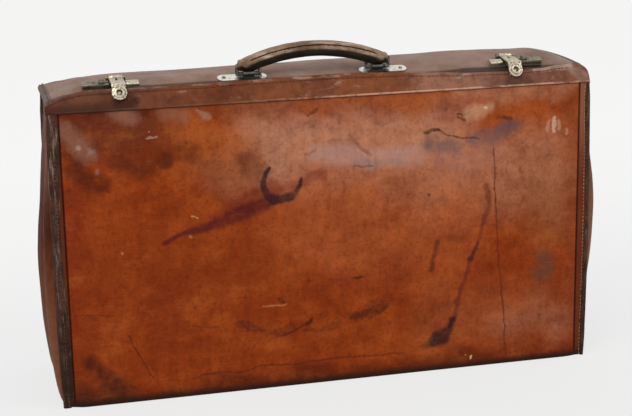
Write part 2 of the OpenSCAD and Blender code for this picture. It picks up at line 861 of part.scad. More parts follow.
// U-shaped staple under the arm: the bolt passes through it when it is slid in
module staple() {
    side_y = bolt_w / 2 + bolt_play;
    floor_lift = bolt_z0 - bolt_play;
    top = arm_lift(lock_line);
    color(nickel) difference() {
        on_lid(lock_y) translate([staple_x, lock_line, 0]) difference() {
            box([0, -side_y - staple_wall, floor_lift - staple_foot], [staple_w, side_y + staple_wall, top]);
            box([-1, -side_y, floor_lift], [staple_w + 1, side_y, top + 1]);
        }
        hasp_strip(hasp_w);
    }
}

module left_staple() {
    at_lock(-1) staple();
}

module right_staple() {
    at_lock(1) staple();
}

module left_hasp() {
    at_lock(-1) hasp();
}

module right_hasp() {
    at_lock(1) hasp();
}

// Small plate on the band under the hasp's eye, with a low stud that shows through it
module keeper() {
    eye_up = band_len - eye_drop;
    color(bronze) on_band() translate([0, 0, eye_up]) rotate([90, 0, 0]) union() {
        translate([-hasp_w / 2 + 1, -keeper_h / 2, 0]) cube([hasp_w - 2, keeper_h, keeper_t]);
        cylinder(h = keeper_t + stud_t, r = eye_r - 1);
    }
}

module left_keeper() {
    at_lock(-1) keeper();
}

module right_keeper() {
    at_lock(1) keeper();
}

base_panel();
base_board();
base_lining();
front_panel();
back_panel();
left_gusset();
right_gusset();
front_left_welt();
front_right_welt();
back_left_welt();
back_right_welt();
front_lining();
back_lining();
left_lining();
right_lining();
mouth_frame();
pivot_rivets();
front_band();
front_stay();
left_keeper();
right_keeper();
lid_top();
lid_left_cap();
lid_right_cap();
lid_frame();
lid_lining();
left_handle_plate();
right_handle_plate();
handle_rivets();
handle_cover();
handle_core();
left_handle_ring();
right_handle_ring();
left_lock_plate();
right_lock_plate();
lock_rivets();
left_lock_case();
right_lock_case();
left_bolt_guide();
right_bolt_guide();
left_slide_bolt();
right_slide_bolt();
left_hasp();
right_hasp();
left_hasp_pin();
right_hasp_pin();
left_staple();
right_staple();
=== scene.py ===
# %% [markdown]
# # A leather travelling case, dressed over its CAD frame
# The CAD frame already holds every hard part at its true size and moves it. What is
# missing is the look: hide that has been carried for decades, sewn edges, rubbed folds
# and tarnished locks. Each step below makes one of these pieces, in metres, right where
# the frame says it is.

# %% Load the frame
import json
import math
import bpy
from mathutils import Matrix, Vector, noise

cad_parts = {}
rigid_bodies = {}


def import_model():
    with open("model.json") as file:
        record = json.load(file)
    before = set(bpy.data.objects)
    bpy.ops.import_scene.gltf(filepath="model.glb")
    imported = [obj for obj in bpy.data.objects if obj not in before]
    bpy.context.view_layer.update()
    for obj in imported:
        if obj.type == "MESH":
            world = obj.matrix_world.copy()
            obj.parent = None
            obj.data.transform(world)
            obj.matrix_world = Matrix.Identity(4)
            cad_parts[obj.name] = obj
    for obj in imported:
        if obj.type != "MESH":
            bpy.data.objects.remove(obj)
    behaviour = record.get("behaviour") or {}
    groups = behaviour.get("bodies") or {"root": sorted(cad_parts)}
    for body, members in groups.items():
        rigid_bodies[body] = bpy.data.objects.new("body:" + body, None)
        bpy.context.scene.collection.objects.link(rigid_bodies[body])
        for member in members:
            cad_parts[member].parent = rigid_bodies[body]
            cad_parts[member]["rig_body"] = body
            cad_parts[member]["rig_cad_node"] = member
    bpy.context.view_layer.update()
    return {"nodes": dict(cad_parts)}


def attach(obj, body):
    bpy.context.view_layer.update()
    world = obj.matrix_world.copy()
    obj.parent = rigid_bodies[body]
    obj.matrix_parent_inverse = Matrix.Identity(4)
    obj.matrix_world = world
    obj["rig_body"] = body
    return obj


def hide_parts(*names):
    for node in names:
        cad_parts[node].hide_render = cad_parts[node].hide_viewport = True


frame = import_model()
MM = 0.001
SIDES = ((-1, "left"), (1, "right"))

# %% [markdown]
# ## Camera
# The case was seen from its left and a little above. A camera could be aimed by eye, but
# here its place, its turn to the right, its tilt down and its slight roll are known, so
# the three axes of the camera are worked out and written as one matrix.

# %% Camera
CAMERA_AT = Vector((-402.455, -1658.32, 607.937)) * MM
TURN, TILT, ROLL = (math.radians(a) for a in (13.6791, 13.9978, 1.09163))
LENS, SENSOR = 87.55, 36

forward = Vector((math.sin(TURN) * math.cos(TILT), math.cos(TURN) * math.cos(TILT), -math.sin(TILT)))
level = Vector((math.cos(TURN), -math.sin(TURN), 0))
down = forward.cross(level)
across = level * math.cos(ROLL) + down * math.sin(ROLL)
down = down * math.cos(ROLL) - level * math.sin(ROLL)
turned = Matrix((across, -down, -forward)).transposed().to_4x4()
bpy.ops.object.camera_add(location=CAMERA_AT)
camera = bpy.context.object
camera.matrix_world = Matrix.Translation(CAMERA_AT) @ turned
camera.data.lens = LENS
camera.data.sensor_width = SENSOR
bpy.context.scene.camera = camera
bpy.context.scene.view_settings.view_transform = "Standard"
print("camera", [round(c, 3) for c in CAMERA_AT], "lens", LENS)

# %% [markdown]
# ## Shader helpers
# Every finish is a node tree. Wiring trees by hand repeats the same few moves, so the tree
# that is at work is kept in one place and each helper adds to it: a node with its values and
# links, a mix of two colours, a sum, a fade from one place to another, a field of noise.
# Colours are written as they look and turned into the linear numbers that the renderer uses.

# %% Shader helpers
at_work = {}


def link(value, socket):
    """Links a value that is a socket; sets any other."""
    if isinstance(value, bpy.types.NodeSocket):
        at_work["tree"].links.new(value, socket)
    else:
        socket.default_value = value


def put(kind, values=None, **settings):
    """Adds a node to the tree at work, with its settings, values and links."""
    node = at_work["tree"].nodes.new("ShaderNode" + kind)
    for key, value in settings.items():
        setattr(node, key, value)
    for key, value in (values or {}).items():
        link(value, node.inputs[key])
    return node


def linear(code):
    """The linear colour of a written one such as 8a3d18."""
    parts = [int(code[i:i + 2], 16) / 255 for i in (0, 2, 4)]
    return [p / 12.92 if p <= 0.04045 else ((p + 0.055) / 1.055) ** 2.4 for p in parts] + [1]


def mix(factor, a, b, blend="MIX"):
    """Lays colour b over colour a; either may be a written colour."""
    a, b = (linear(c) if isinstance(c, str) else c for c in (a, b))
    return put("Mix", {0: factor, 6: a, 7: b}, data_type="RGBA", blend_type=blend).outputs[2]


def maths(operation, a, b=0.5, clamp=False):
    return put("Math", {0: a, 1: b}, operation=operation, use_clamp=clamp).outputs[0]


def times(a, b, clamp=False):
    return maths("MULTIPLY", a, b, clamp)


def plus(a, b, clamp=False):
    return maths("ADD", a, b, clamp)


def minus(a, b, clamp=False):
    return maths("SUBTRACT", a, b, clamp)


def gap(a, b):
    """How far two values lie apart."""
    return maths("ABSOLUTE", minus(a, b))


def remap(value, low, high, to_low=0, to_high=1, smooth=False):
    limits = {0: value, 1: low, 2: high, 3: to_low, 4: to_high}
    return put("MapRange", limits, interpolation_type="SMOOTHSTEP" if smooth else "LINEAR").outputs[0]


def fade(value, start, full, strength=1):
    """Rises softly from nothing at start to its strength at full."""
    return remap(value, start, full, 0, strength, True)


def vector(operation, a, b=(0, 0, 0), c=(0, 0, 0)):
    outputs = put("VectorMath", {0: a, 1: b, 2: c}, operation=operation).outputs
    return outputs["Value" if operation in ("DOT_PRODUCT", "LENGTH") else "Vector"]


def scaled(place, factor):
    return put("VectorMath", {0: place, 3: factor}, operation="SCALE").outputs[0]


def stretched(place, factors):
    return vector("MULTIPLY", place, factors)


def axes(place):
    """The three coordinates of a place."""
    return put("SeparateXYZ", {0: place}).outputs


def speckle(place, scale=1.0, detail=2.0, rough=0.5):
    values = {"Vector": place, "Scale": scale, "Detail": detail, "Roughness": rough}
    return put("TexNoise", values).outputs


def new_group(name, inputs, outputs):
    """Starts a shader group. A number makes an input a float, anything else a vector. Returns
    the group and the sockets of its two end nodes."""
    tree = at_work["tree"] = bpy.data.node_groups.new(name, "ShaderNodeTree")
    for label, value in inputs.items():
        kind = "NodeSocketFloat" if isinstance(value, float) else "NodeSocketVector"
        socket = tree.interface.new_socket(label, in_out="INPUT", socket_type=kind)
        if value is not None:
            socket.default_value = value
    for label, kind in outputs.items():
        tree.interface.new_socket(label, in_out="OUTPUT", socket_type="NodeSocket" + kind)
    return tree, tree.nodes.new("NodeGroupInput").outputs, tree.nodes.new("NodeGroupOutput").inputs


def use(group, **values):
    """Places a group in the tree at work; underscores in the names stand for spaces."""
    node = put("Group", node_tree=group)
    for key, value in values.items():
        link(value, node.inputs[key.replace("_", " ").capitalize()])
    return node.outputs


def begin(name):
    """Starts a material; returns it, its shader and the piece's own coordinates."""
    material = bpy.data.materials.new(name)
    material.use_nodes = True
    tree = at_work["tree"] = material.node_tree
    return material, tree.nodes["Principled BSDF"], put("TexCoord").outputs["Object"]


def coat(shader, values, height, strength, depth):
    """Sets sockets of the shader by name, and a height as a bump of that strength and depth."""
    bump = put("Bump", {"Height": height, "Strength": strength, "Distance": depth}).outputs[0]
    for key, value in {**values, "Normal": bump}.items():
        link(value, shader.inputs[key])


print("helpers ready")

# %% [markdown]
# ## Effects that several finishes share
# Old hide shows the same few things everywhere: a cloudy uneven tan, fine pores and
# creases that catch light, dry pale rubs, and single marks such as a scratch or a stain.
# Each is a shader group, so that every leather places it with values of its own. A mark is
# the distance to a straight line on the panel, with a width at either end, and noise bends
# the line a little. It also hands the place on, so that a long list of marks is worked off
# one after the other and the renderer never has to hold them all at once.

# %% Shared effects
CREASE_SHIFT = (0.004, 0.004, 0.004)
# Too little to show; it only makes each mark wait for the one before it.
UNSEEN = (1e-9, 1e-9, 1e-9)
# Shares of a mark's half width: in full colour, and in its fading edge.
MARK_CORE, MARK_RIM = 0.35, 0.65

cloud, given, made = new_group("cloudy tan", {"Place": None, "Size": 0.06, "Contrast": 1.6}, {"Tone": "Float"})
broad = speckle(scaled(given["Place"], maths("DIVIDE", 1.0, given["Size"])), 1.0, 5.0, 0.62)["Fac"]
link(plus(times(minus(broad, 0.5), given["Contrast"]), 0.5, True), made["Tone"])

grain, given, made = new_group("hide grain", {"Place": None, "Pores": 900.0, "Creases": 90.0},
                               {"Height": "Float", "Pits": "Float"})
bent = speckle(given["Place"], given["Creases"], 3.0)["Color"]
shifted = vector("MULTIPLY_ADD", bent, CREASE_SHIFT, given["Place"])
pebbles = put("TexVoronoi", {"Vector": shifted, "Scale": given["Pores"], "Randomness": 0.9}).outputs["Distance"]
fine = speckle(given["Place"], given["Pores"])["Fac"]
creased = speckle(given["Place"], given["Creases"], 6.0, 0.7)["Fac"]
lines = remap(gap(creased, 0.5), 0.0, 0.05)
coarse = plus(times(lines, 0.8), times(pebbles, 0.7))
link(plus(coarse, times(fine, 0.4)), made["Height"])
link(minus(1.0, lines), made["Pits"])

rub, given, made = new_group("dry rubs", {"Place": None, "Size": 0.02, "Share": 0.3, "Stretch": (1, 1, 1)},
                             {"Mask": "Float"})
drawn = stretched(given["Place"], given["Stretch"])
patch = speckle(scaled(drawn, maths("DIVIDE", 1.0, given["Size"])), 1.0, 8.0, 0.68)["Fac"]
edge = minus(0.72, times(given["Share"], 0.4))
link(times(minus(patch, edge), 7.0, True), made["Mask"])

mark, given, made = new_group("single mark", {"Place": None, "From": None, "To": None, "From width": 0.001,
                                              "To width": 0.001, "Softness": 0.001},
                              {"Mask": "Float", "Next": "Vector"})
span = vector("SUBTRACT", given["To"], given["From"])
gone = vector("SUBTRACT", given["Place"], given["From"])
share = maths("DIVIDE", vector("DOT_PRODUCT", gone, span), vector("DOT_PRODUCT", span, span), True)
away = vector("LENGTH", vector("SUBTRACT", gone, scaled(span, share)))
width = put("Mix", {0: share, 2: given["From width"], 3: given["To width"]}, data_type="FLOAT").outputs[0]
touched = fade(minus(away, width), given["Softness"], 0.0)
link(touched, made["Mask"])
link(vector("MULTIPLY_ADD", touched, UNSEEN, given["Place"]), made["Next"])
print("groups", [g.name for g in bpy.data.node_groups])


def tone_at(place, size, contrast):
    return use(cloud, place=place, size=size, contrast=contrast)["Tone"]


def rubs_at(place, size, share, stretch=(1, 1, 1)):
    return use(rub, place=place, size=size, share=share, stretch=stretch)["Mask"]


def marks_on(place, colour, rows, grit=None):
    """Paints rows of marks over a colour. A row is its points (along, up, half width), its
    softness, colour and strength; the grit eats into their edges and thins them unevenly."""
    if grit is not None:
        bite, thin = remap(grit, 0, 1, -0.30, 0), remap(grit, 0, 1, 0.62, 1)
    for points, softness, paint, strength in rows:
        mask = None
        for (x0, z0, w0), (x1, z1, w1) in list(zip(points, points[1:])) or [points * 2]:
            tip = x1 + (0.01 if (x0, z0) == (x1, z1) else 0)
            one = use(mark, place=place, **{"from": (x0 * MM, 0, z0 * MM)}, to=(tip * MM, 0, z1 * MM),
                      from_width=MARK_CORE * w0 * MM, to_width=MARK_CORE * w1 * MM,
                      softness=(softness + MARK_RIM * max(w0, w1)) * MM)
            place = one["Next"]
            mask = one["Mask"] if mask is None else maths("MAXIMUM", mask, one["Mask"])
        if grit is not None:
            eaten = put("Math", {0: mask, 1: 1.28, 2: bite}, operation="MULTIPLY_ADD", use_clamp=True)
            mask = times(eaten.outputs[0], thin)
        colour = mix(times(mask, strength), colour, paint)
    return colour


def flat_place(place, wobble, size, detail):
    """The place on an upright panel, depth left out, with its lines bent a little by noise."""
    level = stretched(place, (1, 0, 1))
    shake = vector("SUBTRACT", speckle(level, 1 / size, detail)["Color"], (0.5, 0.5, 0.5))
    return vector("ADD", level, stretched(shake, (wobble, 0, wobble)))


def skin(shader, colour, rough, height, depth, specular):
    """Sets the leather's shader: colour, roughness, shine and the grain as a bump."""
    coat(shader, {"Base Color": colour, "Roughness": rough, "Specular IOR Level": specular}, height, 0.5, depth)


# %% [markdown]
# ## The tan of the front and back
# The broad panels are thick saddle hide: red-brown where it is oiled, orange where it is
# dry, with stains and scratches that tell its travels, and a pale haze of reflected light
# painted into its colour. A picture could be pasted on, but then it would belong to one
# camera. Instead the cloudy tan is mixed first, broad soft zones go over it, and the single
# marks come last, each at its own place on the panel in millimetres. Some zones and marks
# are painted light: the haze and sheen, and the shade under the band's fold and along the foot.

# %% Tan hide
PANEL_TOP = 323.2
GROOVE_X = 289.6
ARC_STEPS = 10


def arc(middle, radius, first, last, widths):
    """Points of a bent mark along a circle; its half width runs through the given widths."""
    points = []
    for i in range(ARC_STEPS + 1):
        turn = math.radians(first + (last - first) * i / ARC_STEPS)
        at = i / ARC_STEPS * (len(widths) - 1)
        low = min(int(at), len(widths) - 2)
        points.append((middle[0] + radius * math.cos(turn), middle[1] + radius * math.sin(turn),
                       widths[low] + (widths[low + 1] - widths[low]) * (at - low)))
    return points


front_zones_and_painted_light = [
    # painted reflection: the next two zones are the pale haze of a broad light on the waxed hide
    ([(-64, 276, 14), (40, 268, 22), (120, 262, 14)], 62, "c08c70", 0.72),
    ([(120, 232, 22), (250, 228, 22)], 62, "b27658", 0.78),
    ([(-10, 190, 26), (110, 176, 26)], 74, "ad5a30", 0.60),
    ([(130, 62, 14), (255, 56, 14)], 52, "97512d", 0.55),
    ([(-288, 302, 12), (-190, 304, 10)], 42, "5c2c1c", 0.80),
    ([(-292, 230, 4), (-292, 40, 4)], 46, "7a2a12", 0.55),
    ([(-152, 290, 10), (-104, 262, 12)], 30, "ab5a26", 0.65),
    ([(-130, 250, 8), (-95, 238, 8)], 26, "82513a", 0.50),
    ([(-25, 318, 5), (60, 314, 5), (110, 312, 5)], 12, "9c4a16", 0.60),
    ([(180, 296, 7), (232, 292, 9)], 16, "a24c1a", 0.65),
    ([(-210, 320, 6), (-60, 320, 6)], 16, "70381c", 0.55),
    # painted reflection: a pale haze just under the fold
    ([(150, 318, 5), (280, 316, 6)], 14, "b07a5c", 0.62),
    ([(250, 200, 20), (258, 160, 16)], 34, "8f5630", 0.45),
    ([(-200, 150, 20), (-100, 130, 20)], 60, "8a3a10", 0.50),
    # painted shade: a dark line along the foot of the panel
    ([(-290, 4, 4), (290, 4, 4)], 20, "4c1c0a", 0.75),
    ([(205, 54, 6), (262, 48, 8)], 26, "a8705a", 0.38),
    ([(292, 300, 5), (292, 20, 5)], 26, "7d3d20", 0.50),
    ([(-288, 10, 8), (-236, 8, 5)], 22, "331a0e", 0.66),
    # painted shadow: a dark band under the band's fold at the left end
    ([(-292, 324, 3), (-196, 323, 3)], 8, "38190d", 0.72),
]
front_stains_and_sheen = [
    ([(-276, 263, 5), (-262, 248, 7), (-248, 247, 6)], 12, "3c170c", 0.70),
    ([(-233, 270, 4), (-226, 262, 6), (-211, 256, 6), (-197, 259, 5), (-180, 265, 4)], 11, "481c0d", 0.62),
    ([(-180, 265, 3), (-160, 275, 5), (-146, 267, 4)], 12, "4e210f", 0.55),
    ([(-268, 313, 4), (-254, 308, 4)], 12, "4f1c10", 0.55),
    ([(-92, 262, 4), (-82, 246, 5)], 15, "5c2c1a", 0.55),
    ([(-150, 190, 1.5), (-118, 203, 6), (-84, 219, 8), (-60, 229, 7)], 7, "6a2216", 0.55),
    ([(-184, 176, 0.2), (-152, 187, 1.6), (-124, 193, 5), (-100, 201, 8), (-74, 212, 8),
      (-66, 216, 6)], 5, "4c1616", 0.88),
    ([(-60, 220, 5), (-46, 227, 4), (-8, 240, 1)], 6, "783424", 0.62),
    # painted sheen: a pale lavender band of reflected light across the upper middle
    ([(-18, 262, 2), (36, 256, 3), (70, 252, 4), (100, 254, 4)], 16, "b0938e", 0.42),
    ([(30, 250, 1), (78, 246, 1)], 5, "8a6a64", 0.50),
    ([(245.6, 52.6, 1.4)], 4, "5a2c1c", 0.55),
    ([(127.7, 101.9, 2)], 6, "6a2b14", 0.50),
    ([(114, 264, 4), (128, 261, 6), (144, 258, 4)], 11, "5b4a4c", 0.72),
    ([(167, 266, 3), (188, 269, 4), (200, 274, 5), (208, 277, 3)], 11, "5a484b", 0.70),
    ([(130, 247, 6), (180, 250, 8)], 20, "92625a", 0.45),
    ([(179, 212, 0.6), (183, 190, 1.4), (172, 152, 1.2), (162, 129, 0.8), (152, 100, 0.5), (143, 66, 0.4),
      (139, 52, 1)], 4.4, "5c2216", 0.84),
    ([(171, 148, 0.2), (167, 139, 1.2), (162, 128, 0.4)], 4.6, "37191a", 0.80),
    ([(139.5, 58, 0.5), (136, 48, 3), (128, 39, 6.8), (120, 35, 6.4)], 5.2, "22141a", 0.98),
    ([(121, 35, 4), (109, 31.5, 1)], 5.4, "2e211c", 0.75),
    ([(121.8, 151, 0.6), (118, 134, 1.6), (114.5, 118, 0.8)], 4, "5c2414", 0.76),
    ([(250, 124, 2), (252, 113, 4), (248, 104, 3)], 15, "4d3b30", 0.62),
    ([(-64, 58.5, 0.9), (-48, 63, 0.8), (-33, 69, 0.9), (-25, 73, 1.6)], 1.5, "4c1c0d", 0.75),
    ([(-30, 71, 1.8), (-24, 75, 1.6)], 2.2, "3a140c", 0.80),
    ([(-73, 66, 2), (-58, 62, 3)], 8, "6e3114", 0.45),
    ([(22, 72, 0.9), (34, 73, 1.2), (44, 77, 1), (54, 77, 1.2), (62, 82, 0.8)], 4, "592610", 0.62),
    ([(-270, 48, 2), (-262, 42, 3)], 12, "35140f", 0.72),
    ([(-256, 30, 3), (-247, 22, 5), (-240, 14, 3)], 14, "2e1210", 0.80),
    ([(-200, 104, 6), (-184, 88, 8), (-186, 62, 6)], 24, "6c230b", 0.60),
    ([(-178, 317, 1), (-160, 314, 1)], 14, "9a6a50", 0.45),
    (arc((-54.5, 234), 20.5, 128, 366, [0.2, 3.2, 4.8, 6.0, 5.0, 3.0, 0.2]), 2.2, "241720", 0.98),
]
front_scratches = [
    ([(-24, 305, 1), (-14, 311, 1.4)], 2.2, "5a2712", 0.75),
    ([(27, 245.5, 0.5), (48, 244.6, 0.6)], 1.4, "6c3f33", 0.70),
    ([(22, 280, 0.7), (33, 267, 0.9), (45, 257, 1)], 3, "7c4a37", 0.65),
    ([(15, 228, 0.9), (15, 217, 0.9)], 2.2, "7a3c22", 0.65),
    ([(-28, 262, 0.5), (-17, 266, 0.7)], 2, "7a4a36", 0.50),
    ([(112.4, 206.5, 1)], 2.0, "4a2416", 0.75),
    ([(219.7, 227.3, 1)], 2.4, "5d3428", 0.65),
    ([(-26.6, 119.4, 1.2)], 3, "54200f", 0.70),
    ([(-154, 100, 1)], 3, "54210f", 0.55),
    ([(200.6, 287.9, 1.2), (208, 287, 0.6)], 2.4, "3d2517", 0.75),
    ([(192, 288, 0.5), (200, 288.5, 1)], 1.5, "4a2a1a", 0.60),
    ([(109, 277, 1.2), (117, 280, 1.6), (124, 279, 1.2)], 1.3, "382018", 0.90),
    ([(124, 279, 0.8), (131, 274.5, 0.6), (145, 270, 0.5), (171, 266, 0.3)], 1.1, "4a2a1e", 0.80),
    ([(145, 295.5, 0.8), (157, 295.3, 0.8)], 1.2, "46291c", 0.80),
    ([(146, 292.2, 0.7), (154.5, 289.6, 0.8)], 1.1, "46291c", 0.75),
    ([(188.4, 256, 0.5), (191.6, 183, 0.5), (194, 137, 0.7), (198.3, 92, 0.7), (202.6, 55, 0.6),
      (204.3, 10, 0.5)], 1.1, "5a2414", 0.80),
    ([(117, 128, 0.8), (114.5, 119, 1)], 2, "4a2012", 0.60),
    ([(-60, 101, 1), (-54, 96, 1.2)], 2.5, "4c1c0d", 0.70),
    ([(-96.5, 80, 0.7), (-97, 67, 0.9)], 1.6, "52200f", 0.70),
    ([(-104, 77, 0.5), (-97, 70, 0.7), (-88, 68, 0.9), (-77, 67, 0.7)], 1.6, "5a2410", 0.65),
    ([(-33, 64, 0.8), (-22, 62, 1)], 2.4, "55220f", 0.60),
    ([(24, 73, 3), (40, 75, 3), (58, 80, 3)], 7, "4a1c0c", 0.62),
    ([(44, 84, 2), (66, 92, 2)], 8, "4f200f", 0.45),
    ([(-66, 62, 2), (-48, 67, 3)], 7, "4c1c0d", 0.55),
    ([(-106, 78, 1.5), (-84, 68, 2)], 6, "52200f", 0.55),
    ([(-18, 60, 1.5), (6, 66, 1.5)], 7, "55220f", 0.45),
    ([(28, 78, 0.6), (33, 72, 0.6)], 1.2, "4f200f", 0.60),
    ([(50, 80, 0.6), (53, 75, 0.6)], 1.2, "4f200f", 0.60),
    ([(-3, 119, 0.4), (30, 118.4, 0.6)], 1.6, "6b2c14", 0.60),
    ([(27, 118.5, 1), (36, 118.4, 1.3)], 2, "43190e", 0.75),
    ([(-161, 19, 0.5), (-141, 24, 0.7), (-117, 23, 0.7), (-105, 21.6, 0.5), (-82, 26.5, 0.5), (-43, 24.3, 0.6),
      (-2, 27, 0.6), (61, 24.6, 0.5), (82, 24.6, 0.3)], 1.1, "52200f", 0.72),
    ([(-228, 76, 0.4), (-220, 56, 0.7), (-207, 31, 0.9), (-203, 25, 0.4)], 1.2, "52200f", 0.72),
    ([(-286, 103.3, 0.4), (-262, 102, 0.6), (-243, 100, 0.4)], 1.3, "5a2410", 0.60),
    ([(-158, 79, 0.5), (-129, 76, 0.5)], 1.6, "5e2610", 0.55),
    ([(-167, 233, 0.6), (-162, 233, 0.6)], 1.2, "5a2814", 0.60),
    ([(-181, 178, 0.4), (-149, 188, 0.5)], 1.2, "5a2413", 0.60),
]
front_scuffs = [
    ([(158, 297, 0.5), (171, 300, 1.5), (181, 301, 0.8)], 10, "c49c78", 0.52),
    ([(160, 291, 0.6), (175, 293, 0.8)], 8, "b88a68", 0.45),
    ([(178, 300.5, 0.8)], 2, "e0c8ac", 0.70),
    ([(253, 282, 0.4), (252, 270, 1.0)], 2.6, "c9a286", 0.42),
    ([(259, 284, 0.5), (260, 270, 1.4)], 2.8, "d9bda4", 0.55),
    ([(265, 281, 0.4), (266, 272, 1.0)], 2.6, "c9a286", 0.42),
    ([(275, 271, 0.8), (275, 266, 0.6)], 2.2, "c9a286", 0.42),
    ([(161.7, 11.2, 0.8), (163, 13.5, 0.6)], 0.9, "e3b58e", 0.90),
    ([(156.5, 15.6, 0.5)], 0.8, "d29a70", 0.80),
    ([(-79, 94.3, 0.6), (-55, 94.4, 0.8)], 1.3, "b5713f", 0.75),
    ([(-292, 103, 1.2)], 1.2, "a9897c", 0.70),
    ([(-153, 203, 0.5), (-148, 201, 0.6)], 1.0, "c99c72", 0.60),
    ([(-156, 181, 0.8)], 2.5, "b98a70", 0.55),
    ([(-230, 168, 0.7)], 1.5, "c0906e", 0.60),
    ([(-284, 304, 1), (-277, 297, 2), (-268, 286, 2), (-262, 279, 1)], 17, "96705e", 0.46),
    ([(-271, 286, 0.8)], 4, "c0aea4", 0.38),
    ([(-258, 281, 1)], 5, "a8988e", 0.30),
    ([(-252, 259, 1)], 4, "8a7a74", 0.34),
    ([(-232, 321, 1), (-214, 314, 1)], 14, "94705f", 0.42),
    ([(-199, 292.5, 0.6), (-189, 291.5, 0.6)], 1.6, "b48f7c", 0.60),
    ([(-196, 298, 0.5)], 1.4, "c09a80", 0.50),
    ([(-143, 316, 0.6), (-133, 310, 0.8)], 5, "b09078", 0.38),
]


def hide_panel(name, zones, stains_and_sheen, scratches, scuffs, deep, light):
    """The hide of a broad panel, from its lists of marks and its two main tones."""
    material, shader, place = begin(name)
    tone = tone_at(place, 0.075, 1.9)
    colour = mix(tone, deep, light)
    loose = flat_place(place, wobble=0.06, size=0.05, detail=4.0)
    colour = marks_on(loose, colour, zones)
    blotch = tone_at(stretched(place, (0.85, 1, 1.1)), 0.030, 2.2)
    colour = mix(remap(blotch, 0.45, 0.95, 0.0, 0.42), colour, "5f1e04")
    colour = mix(remap(blotch, 0.45, 0.05, 0.0, 0.26), colour, "bd672c")
    mottle = tone_at(place, 0.013, 1.7)
    colour = mix(remap(mottle, 0.2, 0.8, 0.0, 0.32), colour, "5e2008")
    fleck = tone_at(place, 0.0042, 1.8)
    colour = mix(remap(fleck, 0.50, 0.95, 0.0, 0.42), colour, "6e2c10", "MULTIPLY")
    soaked = remap(plus(mottle, blotch), 0.55, 1.35)
    blurred = flat_place(place, wobble=0.014, size=0.024, detail=4.0)
    # these marks are stains, and also a painted sheen: a pale band of reflected light
    colour = marks_on(blurred, colour, stains_and_sheen, soaked)
    broken = remap(fleck, 0.2, 0.7)
    firm = flat_place(place, wobble=0.005, size=0.014, detail=1.0)
    colour = marks_on(firm, colour, scratches, broken)
    flaked = speckle(place, 300.0, 5.0, 0.65)["Fac"]
    ragged = flat_place(place, wobble=0.010, size=0.008, detail=3.0)
    colour = marks_on(ragged, colour, scuffs, remap(flaked, 0.24, 0.74))
    hair = speckle(stretched(place, (60, 60, 900)), 1.0, 3.0)["Fac"]
    colour = mix(remap(hair, 0.60, 0.78, 0, 0.09), colour, "d08a5c")
    streak = speckle(stretched(place, (190, 190, 34)), 1.0, 4.0)["Fac"]
    colour = mix(times(remap(streak, 0.50, 0.75, 0, 0.40), blotch), colour, "5e2006")
    x, _, z = axes(place)
    side = maths("ABSOLUTE", x)
    strip = remap(side, GROOVE_X * MM - 0.0004, GROOVE_X * MM + 0.0006)
    hand = remap(x, -0.1, 0.1)
    dirt = mix(hand, "482318", mix(fade(z, 0.22, 0.29), "522617", "835440"))
    colour = mix(times(strip, 0.70), colour, dirt)
    colour = mix(fade(gap(side, GROOVE_X * MM), 0.0018, 0.0004, 0.85), colour, "2a0e08")
    # painted shade: the foot darkens where the panel turns under towards the floor
    colour = mix(fade(z, 0.0110, 0.0030, 0.95), colour, "2a1810")
    pores = use(grain, place=place, pores=1100.0, creases=55.0)
    rough = plus(remap(tone, 0, 1, 0.40, 0.54), times(mottle, 0.10))
    skin(shader, colour, rough, pores["Height"], 0.00022, 0.06)
    return material


tan_front = hide_panel("tan hide front", front_zones_and_painted_light, front_stains_and_sheen, front_scratches, front_scuffs, "7c2604", "a34a17")
back_zones = [
    ([(-120, 220, 30), (60, 250, 30)], 80, "9a5230", 0.6), ([(150, 120, 30), (230, 90, 20)], 70, "6c2a10", 0.6),
    ([(-290, 160, 4), (-290, 40, 4)], 50, "6a2810", 0.6), ([(290, 260, 4), (290, 40, 4)], 50, "6a2810", 0.6),
    ([(-220, 300, 14), (220, 300, 14)], 30, "74402a", 0.6), ([(-290, 6, 6), (290, 6, 6)], 14, "5a2410", 0.5),
]
back_stains = [
    ([(60, 240, 3), (82, 214, 5), (74, 196, 3)], 12, "42190d", 0.6),
    ([(-230, 70, 5), (-205, 48, 7)], 16, "3c170e", 0.6),
    ([(226, 150, 1.4)], 6, "4a2012", 0.6), ([(-150, 250, 6), (-90, 262, 9)], 22, "54240f", 0.5),
]
back_scratches = [
    ([(-150, 180, 0.5), (-90, 150, 0.8), (-40, 160, 0.4)], 1.4, "52200f", 0.7),
    ([(190, 210, 0.5), (200, 120, 0.7), (196, 40, 0.5)], 1.2, "5a2414", 0.7),
    ([(-20, 60, 0.6), (60, 52, 0.8)], 1.4, "55220f", 0.65),
    ([(-60, 236, 0.6), (10, 232, 0.8)], 1.6, "6b2c14", 0.6), ([(-110, 100, 1)], 3, "4a2012", 0.6),
    ([(30, 130, 0.7), (34, 112, 0.9)], 2, "5a2814", 0.6),
]
back_scuffs = [
    ([(120, 290, 1), (150, 296, 1)], 16, "a87c64", 0.45), ([(-190, 286, 1), (-170, 290, 1)], 14, "a87c64", 0.45),
]
tan_back = hide_panel("tan hide back", back_zones, back_stains, back_scratches, back_scuffs, "742a08", "9a4a1e")
print("tan finishes", tan_front.name, tan_back.name,
      "marks", len(front_stains_and_sheen) + len(front_scratches) + len(front_scuffs))
